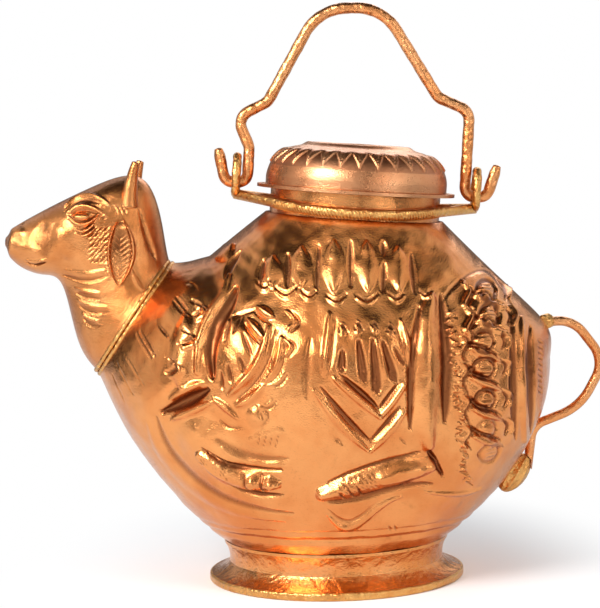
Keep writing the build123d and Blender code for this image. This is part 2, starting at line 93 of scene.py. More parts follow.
def add_object(name: str, data: bpy.types.ID) -> bpy.types.Object:
    """Makes an object at the origin and links it to the scene.

    Args:
        name: its name.
        data: its mesh, curve, lamp or camera.

    Returns:
        The object.
    """
    thing = bpy.data.objects.new(name, data)
    bpy.context.scene.collection.objects.link(thing)
    return thing


# ---------------------------------------------------------------- shader maths and shader trees
class Value:
    """A shader socket that takes part in Python arithmetic: each operator adds its Math node."""

    def __init__(self, tree: "ShaderTree", socket: bpy.types.NodeSocket) -> None:
        """Wraps one output socket of a tree."""
        self.tree, self.socket = tree, socket

    def _math(self, operation: str, *terms: "Value | float") -> "Value":
        """Adds a Math node with these inputs, each a Value or a number, and gives its result."""
        node = self.tree.node("ShaderNodeMath", {"operation": operation}, dict(enumerate(terms)))
        return Value(self.tree, node.outputs[0])

    def __add__(self, other: "Value | float") -> "Value":
        """self + other."""
        return self._math("ADD", self, other)

    def __radd__(self, other: float) -> "Value":
        """other + self."""
        return self._math("ADD", other, self)

    def __sub__(self, other: "Value | float") -> "Value":
        """self - other."""
        return self._math("SUBTRACT", self, other)

    def __rsub__(self, other: float) -> "Value":
        """other - self."""
        return self._math("SUBTRACT", other, self)

    def __mul__(self, other: "Value | float") -> "Value":
        """self * other."""
        return self._math("MULTIPLY", self, other)

    def __rmul__(self, other: float) -> "Value":
        """other * self."""
        return self._math("MULTIPLY", other, self)

    def between(self, low: float, high: float) -> "Value":
        """Rises smoothly from 0 at the low value to 1 at the high one."""
        inputs = {"Value": self, "From Min": low, "From Max": high}
        node = self.tree.node("ShaderNodeMapRange", {"interpolation_type": "SMOOTHSTEP"}, inputs)
        return Value(self.tree, node.outputs[0])


class Tree:
    """One node tree while it is being built."""

    def __init__(self, tree: bpy.types.NodeTree) -> None:
        """Takes the tree and empties it."""
        self.tree = tree
        self.tree.nodes.clear()

    def node(self, kind: str, settings: dict | None = None, inputs: dict | None = None) -> bpy.types.Node:
        """Adds a node.

        Args:
            kind: the node's type.
            settings: attributes that are set first.
            inputs: socket name or index to a Value, a socket, a number or a colour.

        Returns:
            The node.
        """
        node = self.tree.nodes.new(kind)
        for key, value in (settings or {}).items():
            setattr(node, key, value)
        for key, value in (inputs or {}).items():
            value = value.socket if isinstance(value, Value) else value
            if isinstance(value, bpy.types.NodeSocket):
                self.tree.links.new(value, node.inputs[key])
            else:
                node.inputs[key].default_value = value
        return node


class ShaderTree(Tree):
    """One procedural material while it is being built."""

    def __init__(self, name: str) -> None:
        """Starts an empty material.

        Args:
            name: the material's name.
        """
        self.material = bpy.data.materials.new(name)
        self.material.use_nodes = True
        super().__init__(self.material.node_tree)

    def surface(self, shader: bpy.types.Node) -> bpy.types.Material:
        """Ends the tree in its shader's node and gives the material."""
        self.node("ShaderNodeOutputMaterial", None, {"Surface": shader.outputs[0]})
        return self.material

    def place(self, stretch: Colour = (1.0, 1.0, 1.0)) -> bpy.types.NodeSocket:
        """The object's own coordinates in millimetres.

        Args:
            stretch: how much the pattern is pressed together along each axis.

        Returns:
            The vector socket.
        """
        where = self.node("ShaderNodeTexCoord").outputs["Object"]
        scale = tuple(axis / MM for axis in stretch)
        return self.node("ShaderNodeMapping", None, {"Vector": where, "Scale": scale}).outputs["Vector"]

    def noise(self, size: float, detail: float) -> Value:
        """Cloudy noise, about 0.5 in the middle: its patches' size in millimetres and its octaves."""
        inputs = {"Vector": self.place(), "Scale": 1 / size, "Detail": detail, "Roughness": 0.6}
        return Value(self, self.node("ShaderNodeTexNoise", None, inputs).outputs["Fac"])

    def attribute(self, name: str) -> Value:
        """A number that the mesh carries at its points."""
        return Value(self, self.node("ShaderNodeAttribute", {"attribute_name": name}).outputs["Fac"])

    def mix(self, share: Value, first: object, second: object) -> bpy.types.NodeSocket:
        """Mixes two colours.

        Args:
            share: 0 gives the first colour and 1 the second.
            first: a colour or a colour socket.
            second: a colour or a colour socket.

        Returns:
            The mixed colour's socket.
        """
        colours = [(*c, 1.0) if isinstance(c, tuple) else c for c in (first, second)]
        node = self.node("ShaderNodeMix", {"data_type": "RGBA"}, {0: share, 6: colours[0], 7: colours[1]})
        return node.outputs[2]

    def bump(
        self, height: Value, size: float, under: bpy.types.NodeSocket | None = None
    ) -> bpy.types.NodeSocket:
        """Turns a height into a normal.

        Args:
            height: the height, 0 to 1.
            size: what 1 stands for, in millimetres.
            under: a normal that this one is laid on.

        Returns:
            The normal's socket.
        """
        inputs = {"Height": height, "Distance": size * MM, "Strength": 1.0}
        if under is not None:
            inputs["Normal"] = under
        return self.node("ShaderNodeBump", None, inputs).outputs["Normal"]


@dataclass(frozen=True)
class MetalFinish:
    """A beaten sheet or rod metal: its colours, its gloss, its grain and its hammer marks, with painted shade
    in its hollows.
    """

    name: str
    slot: Slot
    clean: Colour
    warm: Colour
    # dark colour for the stains and speckle, and for the painted shade in hollows
    tarnish_and_shade: Colour
    roughness: float = 0.22
    roughness_spread: float = 0.14
    patch_size: float = 22.0
    grain_size: float = 0.5
    grain_height: float = 0.045
    speckle: float = 0.35
    ripple_size: float = 7.0
    ripple_height: float = 0.22
    warm_band: Point = (0.38, 0.66)
    hollow_band: Point = (0.1, 0.9)
    hollow_tarnish_and_shade: float = 0.85
    hollow_roughness: float = 0.12
    stain_share: float = 0.27
    stain_band: Point = (0.60, 0.84)
    stain_soil: float = 0.35
    speckle_band: Point = (0.58, 0.80)
    speckle_roughness: float = 0.10

    def build(self) -> bpy.types.Material:
        """Builds the material.

        Returns:
            The material.
        """
        tree = ShaderTree(self.name)
        cloud = tree.noise(self.patch_size, 4.0)
        stain = tree.noise(self.patch_size * self.stain_share, 5.0)
        speckle = tree.noise(self.grain_size, 2.0)
        ripple = tree.noise(self.ripple_size, 1.0)
        hollow = tree.attribute("hollow")
        colour = tree.mix(cloud.between(*self.warm_band), self.clean, self.warm)
        # painted shade in hollows (partly tarnish) from the hollow attribute, plus the metal's own stains and
        # speckle
        shade_and_soil = hollow.between(*self.hollow_band) * self.hollow_tarnish_and_shade
        shade_and_soil = shade_and_soil + stain.between(*self.stain_band) * self.stain_soil
        shade_and_soil = shade_and_soil + speckle.between(*self.speckle_band) * self.speckle
        colour = tree.mix(shade_and_soil, colour, self.tarnish_and_shade)
        rough = self.roughness + (stain - 0.5) * self.roughness_spread + hollow * self.hollow_roughness
        rough = rough + (speckle - 0.5) * self.speckle_roughness
        normal = tree.bump(ripple, self.ripple_height * 2.0)
        normal = tree.bump(speckle, self.grain_height * 2.0, normal)
        inputs = {"Base Color": colour, "Metallic": 1.0, "Roughness": rough, "Normal": normal}
        return tree.surface(tree.node("ShaderNodeBsdfPrincipled", None, inputs))


class Finishes:
    """The vessel's finishes, each built once."""

    # Each finish's third colour is its dark colour: stains and speckle, and the painted shade in its hollows.
    SKIN = MetalFinish(
        "beaten_copper_skin", Slot.COPPER, (0.73, 0.30, 0.10), (0.63, 0.22, 0.065), (0.15, 0.04, 0.014),
        roughness=0.20, speckle=0.42,
    )
    HEAD_SKIN = MetalFinish(
        "brushed_copper_head", Slot.COPPER, (0.65, 0.265, 0.09), (0.54, 0.19, 0.055), (0.12, 0.035, 0.012),
        roughness=0.22, patch_size=14.0, grain_height=0.08, speckle=0.55,
    )
    LID_SKIN = MetalFinish(
        "spun_copper_lid", Slot.COPPER, (0.64, 0.31, 0.15), (0.56, 0.23, 0.10), (0.18, 0.06, 0.03),
        roughness=0.29, grain_height=0.06, ripple_height=0.10,
    )
    FOOT_SKIN = MetalFinish(
        "foot_copper", Slot.COPPER, (0.74, 0.33, 0.12), (0.66, 0.25, 0.07), (0.20, 0.06, 0.02),
        roughness=0.22, speckle=0.6, grain_size=0.8, grain_height=0.10, ripple_size=3.6, ripple_height=0.30,
    )
    ROD = MetalFinish(
        "forged_copper_rod", Slot.COPPER, (0.74, 0.34, 0.14), (0.66, 0.25, 0.08), (0.22, 0.07, 0.02),
        roughness=0.30, grain_height=0.06, ripple_size=2.6, ripple_height=0.34,
    )
    BRASS = MetalFinish(
        "raw_brass", Slot.BRASS, (0.68, 0.37, 0.12), (0.60, 0.28, 0.08), (0.18, 0.07, 0.02),
        roughness=0.30, patch_size=7.0, grain_height=0.07, ripple_size=1.8, ripple_height=0.30,
    )

    def __init__(self) -> None:
        """Starts with no material built."""
        self._built: dict[str, bpy.types.Material] = {}

    def material(self, finish: MetalFinish) -> bpy.types.Material:
        """Gives a finish's material.

        Args:
            finish: the finish.

        Returns:
            Its material, built on first use.
        """
        if finish.name not in self._built:
            self._built[finish.name] = finish.build()
        return self._built[finish.name]


FINISHES = Finishes()


# ---------------------------------------------------------------- curves, grids and meshes
class SmoothRun:
    """A natural cubic spline through a few values, held straight past its ends."""

    def __init__(self, stations: Sequence[float], values: Sequence[float]) -> None:
        """Works the spline out.

        Args:
            stations: rising positions.
            values: the value at each.
        """
        self.x, self.y = np.array(stations, float), np.array(values, float)
        count, gap = len(self.x), np.diff(self.x)
        system, load = np.eye(count), np.zeros(count)
        for i in range(1, count - 1):
            system[i, i - 1 : i + 2] = gap[i - 1], 2 * (gap[i - 1] + gap[i]), gap[i]
            load[i] = 6 * ((self.y[i + 1] - self.y[i]) / gap[i] - (self.y[i] - self.y[i - 1]) / gap[i - 1])
        self.bend = np.linalg.solve(system, load)

    def __call__(self, where: np.ndarray) -> np.ndarray:
        """Reads the spline.

        Args:
            where: positions.

        Returns:
            The value at each.
        """
        at = np.clip(where, self.x[0], self.x[-1])
        i = np.clip(np.searchsorted(self.x, at) - 1, 0, len(self.x) - 2)
        gap = self.x[i + 1] - self.x[i]
        a, b = (self.x[i + 1] - at) / gap, (at - self.x[i]) / gap
        curl = ((a**3 - a) * self.bend[i] + (b**3 - b) * self.bend[i + 1]) * gap**2 / 6
        return a * self.y[i] + b * self.y[i + 1] + curl


def smooth_step(value: np.ndarray, low: float, high: float) -> np.ndarray:
    """Rises smoothly from 0 at the low value to 1 at the high one."""
    share = np.clip((value - low) / (high - low), 0, 1)
    return share * share * (3 - 2 * share)


def hump(value: np.ndarray, middle: float, spread: float) -> np.ndarray:
    """A bell that is 1 in its middle and falls to about a third at its spread."""
    return np.exp(-(((value - middle) / spread) ** 2))


def egg(share: np.ndarray) -> np.ndarray:
    """The half width of an egg, 0 at the shares 0 and 1 of its length and 1 in the middle."""
    return np.sqrt(np.clip(1 - (2 * share - 1) ** 2, 0, 1))


def travelled(steps: np.ndarray) -> np.ndarray:
    """The way covered before each point of a path, from the steps between its points."""
    return np.concatenate([[0], np.cumsum(steps)])


def outwards(normal: np.ndarray, directions: np.ndarray) -> np.ndarray:
    """Turns the normals that point against the directions."""
    return normal * np.where(np.sum(normal * directions, -1, keepdims=True) < 0, -1, 1)


def grid_ids(points: np.ndarray, closed: bool = False) -> np.ndarray:
    """A grid's points by number; in a closed grid the last column meets the first."""
    ids = np.arange(points.shape[0] * points.shape[1]).reshape(points.shape[:2])
    return np.concatenate([ids, ids[:, :1]], 1) if closed else ids


def grid_triangles(ids: np.ndarray) -> np.ndarray:
    """Splits a grid of points into triangles.

    Args:
        ids: the points' numbers in rows and columns.

    Returns:
        Triangles of point numbers.
    """
    a, b, c, d = ids[:-1, :-1], ids[:-1, 1:], ids[1:, 1:], ids[1:, :-1]
    halves = [np.stack([a, b, c], -1).reshape(-1, 3), np.stack([a, c, d], -1).reshape(-1, 3)]
    return np.concatenate(halves)


def grid_sheet(points: np.ndarray, closed: bool = False) -> tuple[np.ndarray, np.ndarray]:
    """A grid's points and triangles; in a closed grid the last column meets the first."""
    return points.reshape(-1, 3), grid_triangles(grid_ids(points, closed))


def hem(fine: np.ndarray, coarse: np.ndarray) -> np.ndarray:
    """Closes the slot between a fine edge and a coarse one beside it.

    Args:
        fine: point numbers along the fine edge.
        coarse: point numbers along the coarse edge, which has a whole share of the fine edge's steps.

    Returns:
        Triangles of point numbers.
    """
    step = (len(fine) - 1) // (len(coarse) - 1)
    faces = []
    for j in range(len(coarse) - 1):
        for k in range(step):
            near = coarse[j] if k < step / 2 else coarse[j + 1]
            faces.append((fine[j * step + k], fine[j * step + k + 1], near))
        faces.append((fine[j * step + math.ceil(step / 2)], coarse[j + 1], coarse[j]))
    return np.array(faces)


def surface_normals(points: np.ndarray) -> np.ndarray:
    """The unit normals of a grid of points.

    Args:
        points: rows by columns by 3.

    Returns:
        The normals in the same layout.
    """
    down, across = np.gradient(points, axis=0), np.gradient(points, axis=1)
    normal = np.cross(down, across)
    return normal / np.maximum(np.linalg.norm(normal, axis=-1, keepdims=True), 1e-9)


def sweep_tube(path: np.ndarray, radii: np.ndarray, sides: int) -> tuple[np.ndarray, np.ndarray]:
    """A closed tube along a path, with rounded ends.

    Args:
        path: points along its middle.
        radii: its radius at each point.
        sides: how many sides it has.

    Returns:
        Points and triangles.
    """
    end_width, end_bulge = 0.3, 0.25
    run = np.gradient(path, axis=0)
    run /= np.linalg.norm(run, axis=1, keepdims=True)
    side = np.cross(run[0], (0.0, 1.0, 0.01))
    side /= np.linalg.norm(side)
    rings = []
    angle = np.linspace(0, 2 * math.pi, sides, endpoint=False)
    for centre, along, radius in zip(path, run, radii):
        side = side - along * side.dot(along)
        side /= np.linalg.norm(side)
        other = np.cross(along, side)
        rings.append(centre + radius * (np.outer(np.cos(angle), side) + np.outer(np.sin(angle), other)))
    caps = []
    for end, way in ((0, -1), (-1, 1)):
        small = rings[end] * end_width + path[end] * (1 - end_width)
        caps.append(small + way * run[end] * radii[end] * end_bulge)
    rings = [caps[0], *rings, caps[1]]
    points = np.concatenate([np.concatenate(rings), [caps[0].mean(0)], [caps[1].mean(0)]])
    ids = grid_ids(np.array(rings), closed=True)
    first, last = len(points) - 2, len(points) - 1
    fans = [(ids[0, k + 1], ids[0, k], first) for k in range(sides)]
    fans += [(ids[-1, k], ids[-1, k + 1], last) for k in range(sides)]
    return points, np.concatenate([grid_triangles(ids), np.array(fans)])


@dataclass
class Piece:
    """A finished piece on its way into the scene."""

    name: str
    points: np.ndarray
    faces: np.ndarray
    finish: MetalFinish
    body: str = VESSEL
    # how far each point is painted towards its finish's dark colour: painted shade in hollows, partly tarnish
    hollow: np.ndarray | None = None
    stands_for: tuple[str, ...] = ()

    def place(self) -> bpy.types.Object:
        """Makes the mesh, turns it outwards, dresses it and lets it ride on its body.

        Returns:
            The piece's object.
        """
        a, b, c = (self.points[self.faces[:, k]] for k in range(3))
        if np.einsum("ij,ij->i", a, np.cross(b, c)).sum() < 0:
            self.faces = self.faces[:, ::-1]
        mesh = bpy.data.meshes.new(self.name)
        mesh.from_pydata(self.points * MM, [], self.faces)
        mesh.polygons.foreach_set("use_smooth", [True] * len(mesh.polygons))
        if self.hollow is not None:
            attribute = mesh.attributes.new("hollow", "FLOAT", "POINT")
            attribute.data.foreach_set("value", self.hollow.astype(np.float32))
        thing = add_object(self.name, mesh)
        mesh.materials.append(FINISHES.material(self.finish))
        dress(thing, self.body, self.stands_for)
        return thing


def dress(thing: bpy.types.Object, body: str, stands_for: Iterable[str] = ()) -> None:
    """Lets a piece ride on its body and hides the solids that it stands for.

    Args:
        thing: the piece.
        body: the body that it rides on.
        stands_for: the nodes that it replaces.
    """
    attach(thing, body)
    if stands_for:
        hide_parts(*stands_for)
    LOG.info("%s: %d faces on %s", thing.name, len(thing.data.polygons), body)


def dress_solid(node: str, finish: MetalFinish) -> None:
    """Gives a solid of the frame its finish.

    Args:
        node: the node's name.
        finish: the finish.
    """
    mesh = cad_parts[node].data
    mesh.materials.clear()
    mesh.materials.append(FINISHES.material(finish))
    LOG.info("%s: solid in %s", node, finish.name)


# ---------------------------------------------------------------- chased relief
@dataclass(frozen=True)
class Stroke:
    """One stroke of the chasing tool in the side view: raised, or sunk where its height is negative."""

    path: Path
    width: float
    height: float
    taper: float = 0.8
    edge: float = 2.0
    samples: int = 10

    def line(self) -> np.ndarray:
        """The stroke's smooth middle line.

        Returns:
            Points along it.
        """
        points = np.array(self.path, float)
        if len(points) == 1:
            points = np.repeat(points, 2, 0) + [[-0.01, 0], [0.01, 0]]
        run = SmoothRun(range(len(points)), points[:, 0]), SmoothRun(range(len(points)), points[:, 1])
        at = np.linspace(0, len(points) - 1, self.samples * (len(points) - 1) + 1 if len(points) > 2 else 5)
        return np.stack([run[0](at), run[1](at)], 1)

    def shape(self, x: np.ndarray, z: np.ndarray) -> np.ndarray:
        """The stroke's height at points of the side view.

        Args:
            x: along the vessel.
            z: up.

        Returns:
            The height in millimetres.
        """
        line = self.line()
        best, share = np.full(x.shape, 1e9), np.zeros(x.shape)
        steps = len(line) - 1
        for i in range(steps):
            (ax, az), (bx, bz) = line[i], line[i + 1]
            dx, dz = bx - ax, bz - az
            t = np.clip(((x - ax) * dx + (z - az) * dz) / (dx * dx + dz * dz + 1e-12), 0, 1)
            far = (x - ax - t * dx) ** 2 + (z - az - t * dz) ** 2
            nearer = far < best
            best, share = np.where(nearer, far, best), np.where(nearer, (i + t) / steps, share)
        half = self.width * (1 - self.taper + self.taper * np.sin(math.pi * share) ** 0.8) + 1e-6
        return self.height * np.clip(1 - best / half**2, 0, 1) ** self.edge


@dataclass
class Relief:
    """All the strokes on one skin."""

    strokes: list[Stroke] = field(default_factory=list)
    # how deep a groove is where its painted shade, partly tarnish, is darkest
    black_depth: float = 0.9

    def add(self, *strokes: Stroke) -> None:
        """Adds strokes."""
        self.strokes.extend(strokes)

    def read(self, x: np.ndarray, z: np.ndarray) -> tuple[np.ndarray, np.ndarray]:
        """The relief's height and how hollow it is.

        Args:
            x: along the vessel.
            z: up.

        Returns:
            The height in millimetres, and 0 to 1 for how sunk it is, which the finish paints dark: painted
            shade, partly tarnish.
        """
        height, hollow = np.zeros(x.shape), np.zeros(x.shape)
        for stroke in self.strokes:
            line = stroke.line()
            low, high = line.min(0) - stroke.width, line.max(0) + stroke.width
            near = (x > low[0]) & (x < high[0]) & (z > low[1]) & (z < high[1])
            if not near.any():
                continue
            part = stroke.shape(x[near], z[near])
            height[near] += part
            # painted shade in the grooves, partly tarnish
            hollow[near] = np.maximum(hollow[near], -part / self.black_depth)
        return height, np.clip(hollow, 0, 1)


def shifted(path: Path, along: float, up: float) -> tuple[Point, ...]:
    """Moves a path in the side view, towards the tail and up."""
    return tuple((x + along, z + up) for x, z in path)


def strewn(count: int) -> list[Point]:
    """Spots strewn evenly over a field, as shares of its length and its breadth."""
    return [((k * 0.7548) % 1.0, (k * 0.5698) % 1.0) for k in range(count)]


def ring_strokes(centre: Point, radius: float, width: float, height: float, squash: float) -> list[Stroke]:
    """A ring as two half-round strokes.

    Args:
        centre: its middle.
        radius: its radius.
        width: half the stroke's width.
        height: the stroke's height.
        squash: its breadth as a share of its height.

    Returns:
        The strokes.
    """
    halves = []
    for start in (0.0, math.pi):
        turn = [start + math.pi * k / 4 for k in range(5)]
        path = [(squash * radius * math.cos(a), radius * math.sin(a)) for a in turn]
        halves.append(Stroke(shifted(path, *centre), width, height, taper=0.1, samples=4))
    return halves


@dataclass
class FlankRelief(Relief):
    """The chasing of the pot and the chest, the same on both flanks.

    A stroke's width is half its breadth, its depth or height is a share of the plain groove or ridge, and its
    taper is how far it comes to a point at its ends.
    """

    groove: float = -0.9
    ridge: float = 1.1
    fine: float = 0.78
    fine_below: float = 1.45

    def cut(self, width: float, depth: float, *paths: Path, taper: float = 0.8) -> None:
        """Sinks strokes along these middle lines."""
        fine = self.fine if width < self.fine_below else 1.0
        self.add(*(Stroke(path, width * fine, self.groove * depth * fine, taper=taper) for path in paths))

    def lift(self, width: float, height: float, *paths: Path, taper: float = 0.8) -> None:
        """Raises strokes along these middle lines."""
        self.add(*(Stroke(path, width, self.ridge * height, taper=taper) for path in paths))

    def prick(self, x: float, z: float) -> None:
        """Cuts a short upright stroke, one of many that roughen a leg."""
        self.cut(0.5, 0.9, ((x, z + 0.5), (x + 0.3, z - 0.5)))

    def neck_flutes(self) -> None:
        """The upright slots below the neck, with a row of crescents under them."""
        self.cut(
            1.7, 0.8, ((-23, 117), (-25, 109.5)), ((-14.6, 119), (-15, 109)), ((-4, 121.5), (-5, 108.5)),
            ((7, 123), (6.6, 108.5)), ((18.5, 122.5), (18.3, 118.5)), ((18.4, 115.5), (17.5, 106.5)),
            ((28, 118), (28.4, 105.5)), taper=0.6,
        )
        self.lift(
            4.6, 1.0, ((-9.6, 121), (-10.4, 109)), ((1.4, 123), (0.8, 107)), ((12.6, 122.5), (12.4, 107)),
            ((23.2, 120), (23, 107)), ((-19.4, 118), (-20.4, 109)),
        )
        crescents = (
            (-23, 108.8, 2.6), (-15.6, 106.6, 3.4), (-7.6, 105.8, 2.8), (1.6, 104.2, 3.4), (11.8, 104, 3.9),
            (22, 104.2, 2.8), (32.2, 104.4, 2.2),
        )
        for x, z, half in crescents:
            arc = ((x - half, z + 2), (x, z), (x + half, z + 2))
            self.cut(1.0, 0.9, arc)
            self.lift(0.9, 0.5, shifted(arc, 0, -1.3))

    def fan(self) -> None:
        """The fan ornament on the shoulder, with its two bands and the crescents beside it."""
        self.lift(9.0, 1.1, ((-33, 96), (-33, 85), (-33, 76)), taper=0.5)
        self.cut(
            1.25, 1.35, ((-34.4, 98.4), (-36.6, 90.4)), ((-31, 99.4), (-33.2, 93.2)),
            ((-30, 93.4), (-27.6, 86)), ((-31.6, 86.6), (-29.8, 79.8)), ((-35.4, 83.4), (-34.4, 77)),
            ((-38, 81), (-38, 74.6)), taper=0.9,
        )
        self.cut(1.0, 0.8, ((-35.6, 98), (-33.5, 99), (-25.5, 101.4)))
        self.lift(2.2, 1.0, ((-28.6, 98.2), (-23.2, 91.8)), ((-25.2, 102), (-20, 98.8)))
        self.cut(1.0, 1.1, ((-30, 97), (-24.8, 90.6)), ((-26.4, 100.8), (-21.4, 97.2)))
        band = ((-21.3, 96.4), (-24.3, 86.6), (-29, 79), (-36, 72.6))
        self.lift(2.0, 1.5, band)
        self.cut(1.1, 1.1, shifted(band, 2.5, -1.5))
        second = ((-17.4, 93), (-19.2, 83.6), (-22.6, 78))
        self.lift(1.3, 1.0, second)
        self.cut(0.9, 0.9, shifted(second, 1.8, -0.8))
        self.lift(2.1, 1.3, ((-23.6, 76.6), (-28.4, 71.8), (-33.4, 69.4)))
        self.lift(3.8, 1.0, ((-27, 66.2), (-26.6, 65)), taper=0.0)
        self.cut(0.8, 1.0, ((-24.4, 69), (-22.6, 65.4), (-25.6, 61.8)), ((-25, 67.4), (-24.4, 64.6)))
        for arc in (((-14, 100.8), (-11.4, 97.6), (-14.2, 94.2)), ((-16, 92.2), (-13, 89.4), (-15.2, 86)),
                    ((-21.2, 76), (-18, 77), (-15.4, 80.4)), ((-25, 69.4), (-22, 68.8), (-19.4, 71.4))):
            self.cut(1.1, 1.0, arc)
            self.lift(1.0, 0.6, shifted(arc, -1.4, 0.2))

    def panel(self) -> None:
        """The panel in the middle of the flank: four buds, five drops, two blades and two chevrons."""
        self.lift(10.0, 0.5, ((12, 96), (12.6, 82)), taper=0.2)
        for x, z in ((3.4, 94.4), (8.6, 94.8), (14, 94.8), (19.4, 93.8)):
            self.lift(1.9, 0.7, ((x, z + 2.2), (x, z - 2)))
            self.cut(0.8, 1.4, ((x - 1.3, z - 0.8), (x, z + 1.6), (x + 1.3, z - 0.8)))
            self.cut(0.7, 1.0, ((x, z + 1.2), (x, z - 2)))
        drops = (
            ((3, 88), (2.4, 80.4), 1.9), ((8.4, 91), (10, 77), 2.2), ((13.2, 91), (14.4, 73), 2.5),
            ((16.6, 90.4), (20.6, 76.6), 2.1), ((20.6, 88.4), (23.6, 82), 1.4),
        )
        for top, low, width in drops:
            bulb = (low[0] * 0.75 + top[0] * 0.25, low[1] * 0.75 + top[1] * 0.25)
            self.cut(width, 1.5, (top, bulb, low), taper=0.7)
            self.lift(0.8, 1.3, (bulb, low))
            self.lift(width * 0.6, 0.8, shifted([low], 0, -2.2))
        self.lift(1.8, 1.1, ((-0.8, 100.4), (-2.4, 88), (-3.6, 80)), ((23, 97), (25, 88.6), (26, 81)))
        self.cut(1.0, 0.9, ((1.2, 99), (-0.4, 88), (-1.6, 80)), ((21.4, 95.6), (23.4, 88.4), (24.2, 83)))
        upper, lower = ((0, 78.4), (7.4, 71.6), (15, 64.8)), ((15, 64.8), (19.4, 70), (23.6, 75.6))
        self.lift(1.9, 1.2, upper, lower, taper=0.5)
        self.cut(1.5, 1.3, ((1.6, 80), (9, 73.4), (14.8, 67.6)), ((14.9, 67.6), (18, 71), (21.6, 76)))
        self.lift(2.2, 1.0, ((-7, 74.6), (2, 62.6), (11.4, 52.8)), ((11.4, 52.8), (18.4, 60), (24, 67)))
        self.cut(1.5, 1.1, ((-5, 76), (4, 64.6), (11.6, 56.6)), ((11.6, 56.6), (17, 62), (22.4, 68.4)))
        self.cut(2.0, 0.5, ((-7.6, 92), (-9, 82), (-9.4, 72)))

    def haunch(self) -> None:
        """The upright blade of the haunch, the rough strip beside it and the column of roundels."""
        blade = ((33.4, 103), (31.6, 92), (31.4, 78), (30.6, 64), (31.4, 54))
        self.lift(5.6, 2.0, blade, taper=0.5)
        self.cut(1.9, 1.3, ((29.6, 101), (26.6, 86), (25.6, 72), (25.4, 60)))
        strip = ((37.6, 104), (38.2, 94), (38.4, 84), (38.0, 72), (37.4, 62))
        self.cut(3.0, 1.5, strip, taper=0.7)
        self.cut(1.2, 0.8, ((38, 102.4), (41.4, 106), (48.4, 110), (56, 110), (61, 104), (64, 97)))
        self.lift(7.0, 0.9, ((52, 103), (51.4, 88), (51, 70), (51.6, 52)), taper=0.4)
        for k in range(26):
            share = k / 25
            x, z = 41 + 4.4 * share**2 + 0.9 * math.sin(5.1 * k), 97 - 59 * share
            turn = 2.4 * math.sin(3.7 * k)
            self.cut(0.75, 0.95, ((x - 1.4, z - turn * 0.5), (x + 1.4, z + turn * 0.5)))
            self.lift(0.7, 0.8, ((x - 1.2, z + 1.2), (x + 1.0, z + 1.2 - 0.4 * turn)))
        roundels = ((54, 104), (54, 96), (51.2, 88), (51.2, 79), (51.6, 68), (52, 57.6), (53.4, 48.6))
        for k, (x, z) in enumerate(roundels):
            fade = 1.0 if k < 5 else 0.5
            self.add(*ring_strokes((x, z), 3.6, 1.15, self.groove * 1.15 * fade, 1.05))
            self.lift(2.9, 0.9 * fade, ((x - 1.0, z), (x + 1.0, z)), taper=0.0)
            for rise in (1.6, 0.1, -1.4):
                self.cut(0.62, 1.1 * fade, ((x - 2.0, z + rise), (x + 2.1, z + rise - 0.2)))
        for (x, z), (_, below) in zip(roundels, roundels[1:]):
            middle = (z + below) / 2
            leaf = ((x - 5.4, middle + 2.9), (x - 0.5, middle + 0.6), (x + 5.8, middle - 2.6))
            self.lift(1.8, 1.6, leaf)
            self.cut(1.3, 1.5, shifted(leaf, 0, 2.1))
            wave = ((x - 6.4, z + 2.6), (x - 4.8, z), (x - 6.8, z - 3.2), (x - 5.4, below + 2.6))
            self.cut(1.3, 1.5, wave)
            self.lift(1.4, 1.3, shifted(wave, -2.0, 0))
            hook = ((x + 6.4, z + 2.4), (x + 8.4, z - 0.4), (x + 6.8, z - 3.4))
            self.cut(1.3, 1.5, hook)
            self.lift(1.1, 1.0, shifted(hook, 2.0, 0))
        self.lift(1.6, 1.0, ((66, 94), (65.6, 73), (67, 50)), taper=0.3)
        self.cut(2.2, 1.5, ((62.6, 94), (62.2, 73), (63.4, 52)), ((69.4, 91), (69, 74), (70, 52)))
        self.cut(0.7, 1.0, *(((72.2, z), (74, z - 1.4)) for z in range(68, 88, 2)))
        self.lift(1.2, 0.7, ((45.6, 108.8), (45.4, 106.6)))

    def folds(self) -> None:
        """The lip where the chest meets the pot, the folds under it and the swell of the belly."""
        lip = ((-35, 112), (-37.6, 105.4), (-41, 100.4), (-44, 95), (-45.8, 88.4), (-46.4, 80))
        valley = ((-32.6, 108), (-36, 101.6), (-39.8, 95), (-41.6, 87), (-41.4, 78.6))
        self.lift(1.9, 1.5, lip, taper=0.5)
        self.cut(3.2, 2.2, valley, taper=0.7)
        self.lift(5.0, 1.2, ((-50, 98), (-52, 86), (-52, 76)), taper=0.6)
        self.lift(2.2, 1.5, ((-44.4, 77), (-50.4, 74.4), (-56, 71)))
        self.cut(2.9, 2.2, ((-43, 74.6), (-50, 70.4), (-59.6, 65.6)), taper=0.7)
        self.lift(2.2, 1.6, ((-56, 63.6), (-49, 66.8), (-41, 70.6)))
        self.lift(1.8, 1.1, ((-41, 71.6), (-37.4, 69), (-33, 64.8)))
        self.cut(1.3, 0.8, ((-39, 64), (-36, 61.6), (-31, 62)))
        self.lift(12.0, 2.0, ((-47, 57), (-40, 50)), taper=0.2)
        self.cut(2.6, 0.6, ((-40, 58), (-30, 52), (-16, 51)))
        self.lift(2.6, 0.4, ((-38, 55), (-29, 49.6), (-17, 48.6)))
        outline = ((-61.5, 64), (-59.6, 57), (-55, 48.6), (-48, 41.6), (-40, 36.6), (-30, 33), (-15, 31))
        self.cut(2.8, 0.6, outline)
        self.lift(3.0, 0.4, shifted(outline, -3.0, -2.6))
        self.lift(3.4, 0.6, ((-28, 57), (-19, 60)), taper=0.2)
        self.cut(0.6, 0.9, *(((x, 55.4), (x + 1.2, 59.6)) for x in (-26.4, -24.4, -22.4, -20.4)))
        self.lift(3.0, 1.2, ((-33.4, 121.4), (-39.6, 116.4)))
